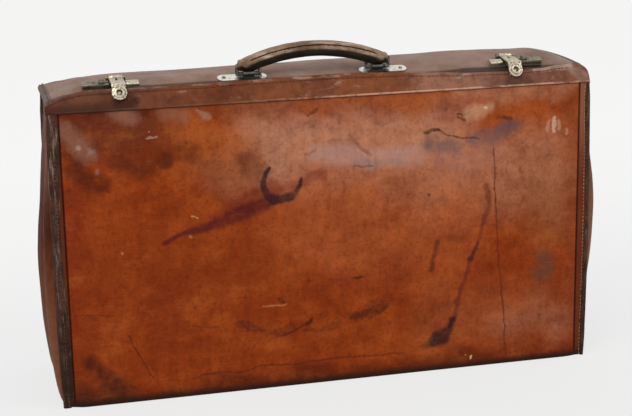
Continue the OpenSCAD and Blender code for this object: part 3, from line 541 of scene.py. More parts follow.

# %% [markdown]
# ## The other leathers
# The gussets are thinner and darker, the lid has greyed under dust and daylight and has a
# grey sheen painted into it, with painted shadow and grime where it meets the band's lip, the
# welts are almost black and fluffy where the threads ran, and the handle is dark, with shade
# painted near black on its underside. They differ in their colours, in how much of them is
# rubbed dry and in the pull of the creases, so one recipe with named values makes them all.

# %% Gusset, lid, welt and handle leather
def worn_leather(name, deep, light, rubbed, share, rub_size=0.012, stretch=(1, 1, 1), cloud_size=0.05, rough=0.5,
                 creases=60.0, depth=0.0004, specular=0.1, dust_and_sheen=None, shaded_underside=None, zones=()):
    """Leather from its deep and light tones, its rubbed colour and how much of it is rubbed. Each
    zone is an axis, where along it the zone starts and is full, its colour and its strength, and
    a second axis with where it is gone and where it is there."""
    material, shader, place = begin(name)
    tone = tone_at(place, cloud_size, 2.0)
    colour = mix(tone, deep, light)
    mottle = tone_at(place, cloud_size / 6, 1.8)
    colour = mix(remap(mottle, 0.35, 0.9, 0, 0.5), colour, deep)
    pores = use(grain, place=place, pores=950.0, creases=creases)
    colour = mix(times(pores["Pits"], 0.35), colour, deep)
    rubs = rubs_at(place, rub_size, share, stretch)
    colour = mix(times(rubs, 0.65), colour, rubbed)
    # dust, and on the lid partly a grey sheen painted into the colour
    if dust_and_sheen:
        colour = mix(remap(tone_at(place, 0.05, 1.9), 0.3, 0.9, 0.05, 0.55), colour, dust_and_sheen)
    parts = axes(place)
    for axis, start, full, paint, strength, across, gone, there in zones:
        held = remap(plus(tone, mottle), 0.4, 1.5, strength, strength * 0.6)
        held = times(held, fade(parts[across], gone * MM, there * MM))
        colour = mix(times(fade(parts[axis], start * MM, full * MM), held), colour, paint)
    # painted shade: faces that point down fade to the underside colour
    if shaded_underside:
        facing = axes(put("TexCoord").outputs["Normal"])[2]
        colour = mix(fade(facing, 0.0, -0.30, 0.95), colour, shaded_underside)
    uneven = remap(plus(tone, rubs), 0, 1.6, rough - 0.06, rough + 0.16)
    skin(shader, colour, uneven, pores["Height"], depth, specular)
    return material


gusset_skin = worn_leather(
    "gusset leather", "2f1307", "662c10", "7d4d30", 0.24, rub_size=0.020, stretch=(1, 1, 0.25), creases=45.0,
    depth=0.0005, specular=0.03, zones=[(2, 205, 62, "8c5a3e", 0.70, 1, 140, -50),
                                        (2, 195, 305, "93624a", 0.58, 1, 140, -50),
                                        (1, 70, -75, "97705c", 0.50, 0, 240, 285)])
# the lid's grey dust colour also paints in its sheen; its two zones are painted shadow and grime in the gap behind
# the band's lip
lid_skin = worn_leather(
    "lid leather", "5a3a2b", "8c654e", "b09d90", 0.22, rub_size=0.016, stretch=(0.4, 1, 1), cloud_size=0.07,
    depth=0.0003, specular=0.22, dust_and_sheen="a08a7e", zones=[(1, -45.5, -48.5, "1d110b", 0.95, 0, 110, 30),
                                                       (1, -51, -54, "1d110b", 0.95, 0, 30, 110)])
cap_skin = worn_leather("lid cap leather", "44302a", "6d5446", "9a8b82", 0.26, specular=0.12, dust_and_sheen="80736c")
welt_skin = worn_leather(
    "welt leather", "22140d", "5e3e31", "9a8373", 0.44, rub_size=0.0028, stretch=(1, 1, 0.10), cloud_size=0.016,
    rough=0.62, creases=160.0, depth=0.0006, specular=0.08, zones=[(2, 150, 30, "1e110a", 0.70, 0, 400, 330)])
# the handle's underside colour is painted shade
grip_skin = worn_leather(
    "handle leather", "543a28", "ab8d74", "d2bda6", 0.46, stretch=(0.25, 1, 1), cloud_size=0.03, rough=0.42,
    creases=120.0, depth=0.0003, specular=0.15, shaded_underside="0e0907")
base_skin = worn_leather("base leather", "23140d", "4a2916", "7c6250", 0.24, stretch=(0.5, 1, 1), cloud_size=0.06,
                         rough=0.6)
print("leathers", len([m for m in bpy.data.materials if "leather" in m.name]))

# %% [markdown]
# ## The band's leather
# The front band is the same hide as the panel but greyer, for it is handled most. Its lower
# fold has lost its colour, and its hem is paler towards the right end. Light and shade are
# also painted into it: a highlight along the fold and along the lip at the right end, and
# shadow under the fold, low on its left end and under the two locks. Height along the
# leaning band is worked out from the place, so the wear and the painted light can follow the fold.

# %% Band leather
BAND_UP, BAND_OUT = (0.42498, 0.90520), (-0.90520, 0.42498)
# How far along BAND_UP the fold lies, in metres.
BAND_START = 0.26141
band_marks_and_painted_light = [
    # painted shadows: the first two rows lie under the left lock and under the right lock
    ([(-226, 331, 3), (-212, 331, 2)], 10, "140803", 0.85),
    ([(206, 329, 2), (226, 328, 2)], 9, "241410", 0.60),
    ([(284, 336, 2), (296, 329, 1)], 8, "c4ac9c", 0.26),
    # painted highlight along the lip at the right end
    ([(238, 340, 0.5), (280, 341, 1)], 5, "c9b2a4", 0.55),
]
band_skin, shader, place = begin("band hide")
along = axes(place)[0]
climb = minus(vector("DOT_PRODUCT", place, (0, *BAND_UP)), BAND_START)
tone = tone_at(place, 0.05, 2.0)
colour = mix(tone, "4a200c", "864828")
colour = mix(fade(gap(along, 0.045), 0.19, 0.09, 0.08), colour, "b07a58")
colour = mix(fade(along, -0.10, -0.25, 0.60), colour, "563a2e")
colour = mix(fade(along, 0.15, 0.21, 0.60), colour, "7a5443")
colour = mix(fade(gap(along, 0.142), 0.065, 0.025, 0.28), colour, "b98f7a")
# painted shade: the band darkens low down at its left end, along the fold
colour = mix(times(fade(climb, 0.014, 0.002, 0.70), fade(along, -0.19, -0.25)), colour, "2c150a")
firm = flat_place(place, wobble=0.006, size=0.010, detail=3.0)
colour = marks_on(firm, colour, band_marks_and_painted_light, tone_at(place, 0.006, 2.4))
mottle = tone_at(place, 0.012, 2.0)
colour = mix(remap(mottle, 0.35, 0.9, 0, 0.6), colour, "402015")
colour = mix(times(rubs_at(place, 0.010, 0.30, (0.35, 1, 1)), 0.6), colour, "b59a8a")
# the pale fold: rubbed wear, with a painted highlight along it
fold = fade(gap(climb, -0.0004), 0.0015, 0.0005)
broken = rubs_at(place, 0.016, 0.80, (0.5, 1, 1))
kept = remap(along, -0.12, 0.0, 0.05, 0.64, True)
colour = mix(times(fold, times(broken, kept)), colour, "cda289")
hem = fade(climb, 0.0195, 0.0225, 0.55)
colour = mix(times(hem, rubs_at(place, 0.009, 0.55, (0.4, 1, 1))), colour, "b8a091")
# painted shadow: a dark line along the fold at the left end, and the turned-under edge below the fold darkened
line = fade(gap(climb, -0.0002), 0.0022, 0.0009)
colour = mix(times(line, fade(along, -0.19, -0.26, 0.45)), colour, "32190f")
colour = mix(fade(climb, -0.0008, -0.0022, 0.8), colour, "3a1c10")
pores = use(grain, place=place, pores=1000.0, creases=70.0)
skin(shader, colour, remap(tone, 0, 1, 0.44, 0.56), pores["Height"], 0.0003, 0.08)
print("band leather ready")

# %% [markdown]
# ## Metal and cloth
# The locks are brass that has gone dull and dark in every corner; the handle plates still
# shine, save where grime and painted shade make them nearly black under the handle's ends;
# the frames are plain steel; the lining is a coarse woven cloth. Metal is mostly reflection,
# so its finish is about where it is clean: noise and the worn high edges decide between
# bright metal and brown tarnish.

# %% Metal, cloth and board
tarnish, given, made = new_group("tarnish", {"Place": None, "Size": 0.004, "Amount": 0.5},
                                 {"Mask": "Float", "Scratch": "Float"})
spot = tone_at(given["Place"], given["Size"], 3.4)
worn = remap(put("NewGeometry").outputs["Pointiness"], 0.50, 0.56)
dirty = plus(minus(spot, 0.5), given["Amount"])
link(minus(dirty, times(worn, 0.6), True), made["Mask"])
link(speckle(stretched(given["Place"], (300, 2400, 2400)), 1.0, 3.0)["Fac"], made["Scratch"])


def metal(name, clean, dull, amount, size=0.004, rough=0.28, grime_and_shade_at=()):
    """Metal from its clean and its dull colour; at each given place along the case it is nearly black, as grime and
    painted shade.
    """
    material, shader, place = begin(name)
    marks = use(tarnish, place=place, size=size, amount=amount)
    dirt, scratch = marks["Mask"], marks["Scratch"]
    colour = mix(dirt, clean, dull)
    # grime, and shade painted in where the handle's ends hang over the plates
    for middle in grime_and_shade_at:
        away = gap(axes(place)[0], middle * MM)
        colour = mix(fade(away, 0.015, 0.010, 0.88), colour, "1d1713")
    uneven = plus(remap(dirt, 0, 1, rough, 0.62), times(scratch, 0.12))
    coat(shader, {"Base Color": colour, "Metallic": remap(dirt, 0, 1, 0.95, 0.35), "Roughness": uneven},
         scratch, 0.15, 0.0002)
    return material


brass = metal("tarnished brass", "c6baa2", "2a2118", amount=0.53, size=0.0026)
dark_brass = metal("blackened brass", "8a8370", "16120d", amount=0.70, size=0.0030)
# the plates are painted nearly black under the handle's ends, as grime and shade
nickel = metal("nickel plate", "e6e2da", "7c766b", amount=0.30, rough=0.24, grime_and_shade_at=(-82, 62))
ring_metal = metal("dulled nickel ring", "8f8a82", "15110e", amount=0.78)
steel = metal("frame steel", "9a9790", "4a3a2c", amount=0.45, size=0.010, rough=0.36)


def woven(name, light, dark, threads):
    """Cloth or thread from its two colours and how many threads lie in a metre."""
    material, shader, place = begin(name)
    heights = []
    for axis in range(3):
        drawn = [threads if k == axis else threads / 14 for k in range(3)]
        heights.append(speckle(stretched(place, drawn), 1.0, 1.0)["Fac"])
    weave = maths("MAXIMUM", maths("MAXIMUM", heights[0], heights[1]), heights[2])
    colour = mix(remap(plus(weave, tone_at(place, 0.05, 1.8)), 0.5, 1.6), dark, light)
    colour = mix(times(rubs_at(place, 0.06, 0.3), 0.4), colour, dark)
    coat(shader, {"Base Color": colour, "Roughness": 0.9, "Sheen Weight": 0.25, "Specular IOR Level": 0.1},
         weave, 0.6, 0.0003)
    return material


lining_cloth = woven("lining cloth", "b7a17d", "7a6547", 1100.0)
thread = woven("waxed thread", "a8957c", "55442f", 2600.0)
dark_thread = woven("dirty thread", "6e5c4b", "2c211a", 2600.0)
black_thread = woven("blackened thread", "46352a", "1c130e", 2600.0)
card = worn_leather("grey board", "6f5d45", "8d7857", "a8967a", 0.2, rub_size=0.02, rough=0.8, creases=120.0,
                    depth=0.0001)
print("metals and cloths ready")

# %% [markdown]
# ## Modelling helpers
# Most pieces are sheets or bars whose outline changes slowly along their length. By hand one
# would add a grid, pull its rows into place, merge the seam and fill the ends, so that is
# what one helper does. A sheet gets its thickness from Solidify. Another helper sets the
# smoothing and the material, hides the CAD node that the piece stands for and ties it to
# the body that carries it.

# %% Modelling helpers
MERGE = 1e-6


def fresh():
    """Object mode, with nothing selected."""
    if bpy.context.mode != "OBJECT":
        bpy.ops.object.mode_set(mode="OBJECT")
    bpy.ops.object.select_all(action="DESELECT")


def pick(piece):
    """Selects one piece and makes it the active one."""
    fresh()
    piece.select_set(True)
    bpy.context.view_layer.objects.active = piece


def edit_all():
    """Edit mode, with everything selected."""
    bpy.ops.object.mode_set(mode="EDIT")
    bpy.ops.mesh.select_all(action="SELECT")


def leave():
    bpy.ops.object.mode_set(mode="OBJECT")


def turn_over():
    """Turns the faces of the active sheet the other way."""
    edit_all()
    bpy.ops.mesh.flip_normals()
    leave()


def grid_through(name, rings, closed=False, facing=None):
    """A grid whose rows are pulled onto rings of points in millimetres. Closed rings are
    merged at their seam and capped; facing turns an open sheet the right way out."""
    rows, count = len(rings), len(rings[0])
    columns = count if closed else count - 1
    fresh()
    bpy.ops.mesh.primitive_grid_add(x_subdivisions=columns, y_subdivisions=rows - 1, size=1)
    piece = bpy.context.object
    piece.name = name
    for point in piece.data.vertices:
        i = round((point.co.x + 0.5) * columns) % count
        j = round((point.co.y + 0.5) * (rows - 1))
        point.co = Vector(rings[j][i]) * MM
    edit_all()
    bpy.ops.mesh.remove_doubles(threshold=MERGE)
    if closed:
        bpy.ops.mesh.fill_holes(sides=0)
        bpy.ops.mesh.select_all(action="SELECT")
        bpy.ops.mesh.normals_make_consistent(inside=False)
    leave()
    if facing is not None:
        mean = sum((face.normal * face.area for face in piece.data.polygons), Vector())
        if mean.dot(Vector(facing)) < 0:
            turn_over()
    return piece


def modify(piece, kind, **settings):
    """Adds a modifier with its settings and applies it."""
    pick(piece)
    modifier = piece.modifiers.new(kind.title(), kind)
    for key, value in settings.items():
        setattr(modifier, key, value)
    bpy.ops.object.modifier_apply(modifier=modifier.name)
    return piece


def thicken(piece, thickness, even_offset=True):
    """Gives a sheet its thickness, in from the face that shows."""
    return modify(piece, "SOLIDIFY", thickness=thickness * MM, offset=-1, use_even_offset=even_offset)


def bevel(piece, width, degrees):
    return modify(piece, "BEVEL", width=width * MM, segments=2, limit_method="ANGLE",
                  angle_limit=math.radians(degrees))


def dress(piece, material, body, nodes=(), angle=38):
    """Smooths a piece up to an angle, gives it its material and ties it to the frame."""
    pick(piece)
    bpy.ops.object.shade_smooth_by_angle(angle=math.radians(angle))
    piece.data.materials.clear()
    piece.data.materials.append(material)
    if nodes:
        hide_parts(*nodes)
    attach(piece, body)
    return piece


def join(pieces):
    """Makes one piece of several; it keeps the first one's name."""
    pick(pieces[0])
    for piece in pieces:
        piece.select_set(True)
    bpy.ops.object.join()
    return bpy.context.object


def clip(t):
    return max(0.0, min(1.0, t))


def ease(t):
    """0 before 0, 1 after 1, and a soft rise between."""
    t = clip(t)
    return t * t * (3 - 2 * t)


def wave(x, y, z=0.0):
    return noise.noise(Vector((x, y, z)))


def even(first, run, steps):
    """Evenly spaced values from the first one on."""
    return [first + run * i / steps for i in range(steps + 1)]


def mirrored(half):
    """Places along the case from those of its right half, the outermost first."""
    return [-x for x in half] + [0.0] + half[::-1]


print("modelling helpers ready")

# %% [markdown]
# ## Front and back panels
# Each broad side is one hide: it turns under the base in a tight curve, runs up to the
# mouth, and has a creased line tooled beside each upright seam. The tooled line is cut into
# the sheet itself, with grid columns crowded round it, and the sheet is let down by up to a
# millimetre here and there, because old hide is never flat.

# %% Front and back panels
HALF_D, BASE_R, HIDE_T, FOLD_Z = 75.0, 2.6, 3.6, 324.0
STITCH_X, SEAM_FROM, SEAM_RUN = 295.8, 290.6, 7
BACK_TOP = 320.0
SEAM_PULL = {-1: 1.2, 1: 2.0}
near_groove = [297.6, 296.9, 296.3, 295.8, 295.3, 294.7, 293.4, 292.0, 291.1, 290.5, 290.0, 289.6, 289.2, 288.7,
               288.0, 286.5, 283, 277, 269]
middle_xs = [260 - 10 * i for i in range(26)]
panel_xs = mirrored(near_groove + middle_xs)


def seam_out(side, z):
    """How far the sewn edge is pulled outwards at a height."""
    return SEAM_PULL[side] * math.sin(math.pi * clip(z / FOLD_Z)) ** 1.2


def sag(x, z):
    """How far the foot of the panel has been pressed out by the load, most of all on the left."""
    return (4.2 - 1.6 * ease((x + 300) / 500)) * ease((294 - abs(x)) / 16) * ease((34 - z) / 34)


def dip(x, middle, depth, width):
    """The depth of a tooled line at both ends of the case."""
    return depth * math.exp(-((abs(x) - middle) / width) ** 2)


def panel_rows(top):
    """The panel's section: how far in from its face, and how high."""
    turn = [math.radians(a) for a in range(0, 91, 15)]
    curve = [(-BASE_R * math.sin(a), BASE_R - BASE_R * math.cos(a)) for a in turn]
    rises = [BASE_R + 3, BASE_R + 7] + even(BASE_R + 12, top - BASE_R - 12, 43)
    return [(2.0, 0.0)] + curve + [(-BASE_R, z) for z in rises]


def panel(name, side, top, seed):
    """One broad hide; side is -1 for the front and 1 for the back."""
    def at(x, dy, z):
        lift = ease((z - 6) / 40) * ease((top - z) / 30 + 0.15)
        edge = ease((GROOVE_X - abs(x)) / 40)
        swell = (0.9 * wave(x / 95, z / 95, seed) + 0.30 * wave(x / 28, z / 28, seed + 5)) * lift * edge
        groove = dip(x, GROOVE_X, 0.95, 0.65) + dip(x, STITCH_X, 0.5, 0.5)
        pull = seam_out(math.copysign(1, x), z) * ease((abs(x) - SEAM_FROM) / SEAM_RUN)
        out = HALF_D - BASE_R - dy + swell + sag(x, z) - groove * ease(z / 12)
        return x + math.copysign(pull, x), side * out, z
    rings = [[at(x, dy, z) for x in panel_xs] for dy, z in panel_rows(top)]
    return thicken(grid_through(name, rings, facing=(0, side, 0)), HIDE_T)


front_leather = panel("front_leather", -1, PANEL_TOP, 2.0)
dress(front_leather, tan_front, "case", ["front_panel"], angle=60)
back_leather = panel("back_leather", 1, BACK_TOP, 9.0)
dress(back_leather, tan_back, "case", ["back_panel"], angle=60)
print("panels", len(front_leather.data.polygons), len(back_leather.data.polygons))

# %% [markdown]
# ## Base
# Under the case lies one stiff sole of dark leather between the two turned-up sides. A bare
# slab would do for a plan drawing; a sole has a skived, sewn border, so its underside is
# inset, the border is stepped down, and the rim is bevelled.

# %% Base
SOLE_SIZE, SOLE_Z = Vector((0.591, 0.138, 0.0036)), 0.0022
SOLE_INSETS = ((0.009, 0), (0.0012, -0.0008), (0.0012, 0.0008))

fresh()
bpy.ops.mesh.primitive_cube_add(size=1)
base_leather = bpy.context.object
base_leather.name = "base_leather"
for point in base_leather.data.vertices:
    point.co = point.co * SOLE_SIZE + Vector((0, 0, SOLE_Z))
bpy.ops.object.mode_set(mode="EDIT")
bpy.ops.mesh.select_mode(type="FACE")
bpy.ops.mesh.select_all(action="DESELECT")
leave()
for face in base_leather.data.polygons:
    face.select = face.normal.z < -0.9
bpy.ops.object.mode_set(mode="EDIT")
for thickness, depth in SOLE_INSETS:
    bpy.ops.mesh.inset(thickness=thickness, depth=depth)
bpy.ops.mesh.select_all(action="SELECT")
bpy.ops.mesh.subdivide(number_cuts=6)
leave()
bevel(base_leather, 0.6, 40)
dress(base_leather, base_skin, "case", ["base_panel"])
print("base", [round(c, 4) for c in base_leather.dimensions])

# %% [markdown]
# ## Gussets
# The ends are bellows of thinner hide: they swell beside each seam, fold inward down the
# middle and lie flat at the base and at the mouth. Cloth simulation could puff them, but the
# fold must stay where the frame has it, so the swell is written as a formula and small
# creases are added across it.

# %% Gussets
GUSSET_X, GUSSET_Y, GUSSET_T = 299.8, 72.0, 3.4
GUSSET_FOOT, GUSSET_RISE = 0.9, 321.1
PUFF, TUCK = {-1: 12.6, 1: 17.4}, 6.0


def rear_in(side, y, z):
    """The left end has sunk inwards towards the back."""
    return 4.2 * ease((z - 130) / 90) * ease((y + 50) / 110) if side < 0 else 0.0


def upright_share(side, z):
    """How much of the swell there is at a height: full low down on the left, high up on the right."""
    t = clip((z - 2) / 302.6)
    if side > 0:
        return math.sin(math.pi * t ** 1.2) ** 1.5
    return math.sin(math.pi * t ** 0.85) ** (0.5 if t < 0.442 else 1)


def bellows(inward, puff):
    """The swell beside the seams, less the fold down the middle."""
    return puff * math.sin(math.pi * inward ** 0.6) - TUCK * inward ** 3


def gusset(side, word):
    """One end of the case."""
    def at(y, z):
        inward = 1 - abs(y) / GUSSET_Y
        crease = (0.9 * wave(y / 13, z / 70, side * 3) + 0.5 * wave(y / 6, z / 24, side * 7)) * ease(inward * 5)
        out = upright_share(side, z) * (bellows(inward, PUFF[side]) + crease)
        out += seam_out(side, z) * (1 - inward) ** 2
        return side * (GUSSET_X + out - rear_in(side, y, z)), y, z
    rings = [[at(y, z) for y in even(-GUSSET_Y, 2 * GUSSET_Y, 48)] for z in even(GUSSET_FOOT, GUSSET_RISE, 56)]
    piece = thicken(grid_through(word + "_gusset_leather", rings, facing=(side, 0, 0)), GUSSET_T)
    return dress(piece, gusset_skin, "case", [word + "_gusset"], angle=60)


gussets = [gusset(side, word) for side, word in SIDES]
print("gussets", [len(piece.data.polygons) for piece in gussets])

# %% [markdown]
# ## Welts
# Along the four upright edges the panel and the gusset are sewn together round a thick dark
# welt. Its section is drawn once: a flat bead that turns round the corner. It is pulled
# along the edge with a rough, fibrous surface, and it leans out with the gusset halfway up.

# %% Welts
CORNER_X, WELT_FOOT, WELT_STEPS, WELT_LAP = 300, 0.2, 63, 3.6
welt_section = [(-3.6, 1.4), (-3.5, -0.5), (-2.7, -1.3), (-1.4, -1.7), (-0.2, -1.5), (1.0, -1.1), (2.0, -0.3),
                (2.7, 1.0), (2.9, 3.0), (2.6, 5.5), (2.2, 8.0), (1.2, 9.2), (-0.4, 9.0), (-1.2, 6.5), (-2.0, 4.4),
                (-3.0, 3.4)]


def to_end(i, steps, share):
    """1 at either end of a run of steps, 0 from that share of it inwards."""
    return ease((share - min(i, steps - i) / steps) / share)


def welt(name, side, front, top, reach):
    """One welt; reach is how far it lies over the panel."""
    rings = []
    for j, z in enumerate(even(WELT_FOOT, top - WELT_FOOT, WELT_STEPS)):
        grow = 1 - 0.35 * to_end(j, WELT_STEPS, 0.06)
        shift = seam_out(side, z) - rear_in(side, front * HALF_D, z)
        wide = reach * (1 - 0.32 * math.exp(-((z - 185) / 60) ** 2))
        ring = []
        for k, (dx, dy) in enumerate(welt_section):
            rough = 0.22 * wave(z / 4.5, k * 1.7, side * 2 + front)
            dx = dx * wide / WELT_LAP if dx < 0 else dx
            ring.append((side * (CORNER_X + shift + dx * grow + rough), front * (HALF_D - dy * grow - 0.2), z))
        rings.append(ring)
    piece = grid_through(name + "_seam", rings, closed=True)
    return dress(piece, welt_skin, "case", [name + "_welt"], angle=50)


for side, word in SIDES:
    welt("front_" + word, side, -1, 323.0, 10.2 if side < 0 else 3.8)
    welt("back_" + word, side, 1, 317.5, 5.0)

# %% [markdown]
# ## Front band and hinge roll
# Above the front panel stands a stiff band that leans back over the lid's edge. Its upper
# edge is turned over and hemmed, and its lower edge is a fold that hands have rubbed pale,
# with a highlight painted along it.
# The section goes along the case; its height is not the same everywhere, because the stay
# inside has given way near the right lock. At the back the hide is rolled round the hinge.

# %% Front band and hinge roll
BAND_END, BAND_H, HEM_UP, END_R = 302.5, 23.7, 18.1, 3.6
band_section = [(-3.0, -1.2), (-0.8, -1.9), (0.5, -1.7), (1.1, -0.9), (1.2, 0.1), (0.9, 1.2), (0.6, 2.6), (0.5, 5),
                (0.5, 8.5), (0.5, 12), (0.5, 15.2), (0.5, 17.0), (0.1, 17.7), (-0.1, 18.1), (0.1, 18.5), (0.6, 19.3),
                (0.6, 21), (0.3, 22.4), (-0.6, 23.3), (-2.0, 23.7), (-3.6, 23.5), (-4.9, 22.7), (-5.7, 21.4),
                (-6, 19.5), (-6, 14), (-6, 8), (-6, 3.5), (-5.2, 1.0)]
band_heights = [(-240, 22.6), (-130, 22.8), (-112, 24.2), (20, 25.4), (75, 23.8), (120, 20.6), (165, 17.8),
                (214, 17.0), (245, 18.4), (268, 21.2), (300, 22.6)]
band_ends = [BAND_END - d for d in (0, 0.4, 1.2, 2.4, 4, 6, 8.5, 11, 14, 17.5, 22, 27)]
band_xs = mirrored(band_ends + [270 - 6 * i for i in range(45)])


def between(rows, x):
    """The value at x in rows of places and values, eased from one row to the next."""
    for (x0, h0), (x1, h1) in zip(rows, rows[1:]):
        if x <= x1:
            return h0 + (h1 - h0) * ease((x - x0) / (x1 - x0))
    return rows[-1][1]


def on_band(x, out, up):
    """The point so far out from the leaning band's face and so far up it from the fold."""
    return x, -HALF_D + out * BAND_OUT[0] + up * BAND_UP[0], FOLD_Z + out * BAND_OUT[1] + up * BAND_UP[1]


def band_top(x):
    """Length of the band up its slope: a long drooping corner on the left, a round one on the right."""
    if x < 0:
        share = max(0.0, -258 - x) / 44.5
        return 6.5 + (between(band_heights, x) - 6.5) * max(0.0, 1 - share ** 1.6) ** 0.8
    turn = max(0.0, x - 285.5)
    return between(band_heights, x) - 17 + math.sqrt(max(1.0, 289 - turn * turn))


def band_ring(x):
    top = band_top(x)
    end = math.sqrt(max(0.10, 1 - (max(0.0, abs(x) - BAND_END + END_R) / END_R) ** 2))
    ring = []
    for out, up in band_section:
        swell = 0.35 * wave(x / 26, up / 9, 4.0) + 0.45 * wave(x / 70, up / 30, 8.0)
        out = -2.6 + (out + 2.6) * end + (swell if out > -1 else 0)
        ring.append(on_band(x, out, up * top / BAND_H if up > 0 else up))
    return ring


def cheek(side):
    """The small stiff gore that closes the band's end against the gusset."""
    rings = []
    for dx, inset in ((300.5, 0.5), (300.9, 0.0), (302.0, 0.0), (302.4, 0.5)):
        low, rear, front = 321.6 + inset, -47.0 - inset, -71.5 + inset
        outline = ((front, low), (-62, low), (rear, low), (rear, 325.4 - inset), (-54, 327.6 - inset),
                   (-62, 329.6 - inset), (front + 3.6, 330.6 - inset), (front + 1.0, 327.0))
        rings.append([(side * dx, y, z) for y, z in outline])
    return grid_through("cheek", rings, closed=True)


band_leather = grid_through("band_leather", [band_ring(x) for x in band_xs], closed=True)
band_leather = join([band_leather, cheek(-1), cheek(1)])
dress(band_leather, band_skin, "case", ["front_band"], angle=45)


def stay_ring(x):
    low, high = 4.2, min(20.0, band_top(x) - 3.5)
    middle = (low + high) / 2
    outline = ((-3.7, low), (-2.3, low), (-2.3, middle), (-2.3, high), (-3.7, high), (-3.7, middle))
    return [on_band(x, out, up) for out, up in outline]


band_stay = grid_through("band_stay", [stay_ring(-276 + 12 * i) for i in range(47)], closed=True)
dress(band_stay, steel, "case", ["front_stay"])

HINGE_Y, HINGE_Z, ROLL_R = 71.0, 324.0, 4.0
ROLL_HALF, ROLL_STEPS = 281.5, 94


def roll_ring(i, x):
    r = ROLL_R * (1 - 0.25 * to_end(i, ROLL_STEPS, 0.02)) - 0.12 + 0.1 * wave(x / 14, 3.0)
    turns = [a * math.pi / 10 for a in range(20)]
    return [(x, HINGE_Y + r * math.cos(a), HINGE_Z + r * math.sin(a)) for a in turns]


roll_xs = even(-ROLL_HALF, 2 * ROLL_HALF, ROLL_STEPS)
hinge_roll = grid_through("hinge_roll", [roll_ring(i, x) for i, x in enumerate(roll_xs)], closed=True)
dress(hinge_roll, cap_skin, "case", (), angle=60)
print("band", len(band_leather.data.polygons), "roll", len(hinge_roll.data.polygons))

# %% [markdown]
# ## Lid
# The lid is a shallow crowned tray: one hide on top, a cap sewn on at each end, and a tail
# that runs down over the hinge roll. The crown's height comes from an arc across the lid
# which flattens towards the ends, and the hide is let to sag a little between the locks.

# %% Lid
LID_FRONT, LID_REAR, LID_LOW, LID_EDGE = -57.1717, 62.0, 325.0, 340.0
TAIL, LID_REACH, LID_T = (72.6, 328.8), 295.2, 2.9
ARC_Y, ARC_Z, ARC_R = 2.414172, 198.063713, 153.936287
CROWN, CAP_X = 12, 295
crown_ys = (-50.5, -47, -42, -37, -31, -24, -16, -8, 0, 8, 16, 24, 32, 40, 46, 51, 55)
end_drop = [(-300, 7.2), (-278, 4.4), (-255, 2.2), (-225, 0.6), (-190, 0), (120, 0), (168, -1.6), (205, -1.2),
            (240, 0), (300, 0)]
cap_steps = [(293.9, -1.0), (294.0, 0.5), (294.6, 1.2), (295.3, 1.3), (296.0, 0.9), (296.5, -0.1), (296.9, -0.3),
             (297.4, 0.3), (298.3, 0.3), (299.1, -0.3), (299.7, -1.4), (300.0, -3.0)]


def crown_at(x):
    """The crown's rise, less towards the ends."""
    run = max(0.0, (abs(x) - 257) / 38)
    return CROWN - 10 * run * run


def lid_height(x, y):
    share = (ARC_Z + math.sqrt(ARC_R ** 2 - (y - ARC_Y) ** 2) - LID_EDGE) / CROWN
    return LID_EDGE + crown_at(x) * share


def lid_profile(x, over):
    """The lid's outside across the case, a little under it by over."""
    front, rear = LID_FRONT + over, LID_REAR - over
    points = [(front, LID_LOW), (front, 329), (front, 333), (front, 335.6), (front + 0.5, 337.6),
              (front + 1.6, 339.1), (front + 3.2, 340.4)]
    points += [(y, None) for y in (*crown_ys, rear - 4.0)]
    points += [(rear - 1.2, 339.9), (rear + 1.2, 338.3), (rear + 4, 335.4), (rear + 7.6, 331.6),
               (TAIL[0] - 1.2 * over, TAIL[1])]
    return [(y, lid_height(x, y) - over if z is None else z - over * (z > 339)) for y, z in points]


def slump(x, y):
    """How far the old crown has sunk behind the locks, most of all on the left."""
    return 3.4 * ease((150 - x) / 430) * ease((y + 34) / 26) * ease((60 - y) / 25)


def droop(x, z):
    """The worn left corner hangs low, and the hide is blown up a little beside the right lock."""
    return between(end_drop, x) * ease((z - 328) / 10)


def lid_sheet(name, over, reach):
    """The lid's hide, or a sheet that lies under it by over."""
    def at(x, y, z):
        on_top = ease((z - 338 + over) / 4) * ease((LID_REACH - abs(x)) / 20)
        drop = 0.7 * wave(x / 60, y / 40, 3.0) + 0.25 * wave(x / 17, y / 17, 6.0) - 0.35
        sunk = slump(x, y) * ease((LID_REACH - abs(x)) / 14)
        return x, y, z + on_top * drop - sunk - droop(x, z + over)
    xs = mirrored([reach - d for d in (0, 1, 4, 9, 15, 22, 30)] + middle_xs)
    rings = [[at(x, y, z) for y, z in lid_profile(x, over)] for x in xs]
    return grid_through(name, rings, facing=(0, 0, 1))


def cap_outline(grow):
    """The outline of the lid's end, grown outwards except along its lower edge."""
    line = [p for p in lid_profile(CAP_X, 0.0) if p[0] < 66] + [(69.4, 331.0), (69.0, 329.2), (65.5, LID_LOW)]
    line += [(y, LID_LOW) for y in (50, 30, 10, -10, -30, -50)]
    out = []
    for k, (y, z) in enumerate(line):
        (ya, za), (yb, zb) = line[k - 1], line[(k + 1) % len(line)]
        along = Vector((yb - ya, zb - za)).normalized()
        out.append((y - along.y * grow, z + along.x * grow if z > LID_LOW + 0.5 else z + max(0.0, -grow)))
    return out


lid_leather = thicken(lid_sheet("lid_leather", 0.0, LID_REACH), LID_T)
dress(lid_leather, lid_skin, "lid", ["lid_top"], angle=50)
for side, word in SIDES:
    rings = [[(side * x, y, z - droop(side * x, z)) for y, z in cap_outline(grow)] for x, grow in cap_steps]
    cap = grid_through(word + "_cap_leather", rings, closed=True)
    dress(cap, cap_skin, "lid", ["lid_" + word + "_cap"], angle=50)
print("lid", len(lid_leather.data.polygons))

# %% [markdown]
# ## Lining
# Inside, the case is lined with coarse cloth that is pasted and tacked to each wall, so
# every sheet is stretched over the leather behind it. The walls and the floor are flat
# sheets; the ends follow the bellows, only straighter; the lid's sheet follows the crown.

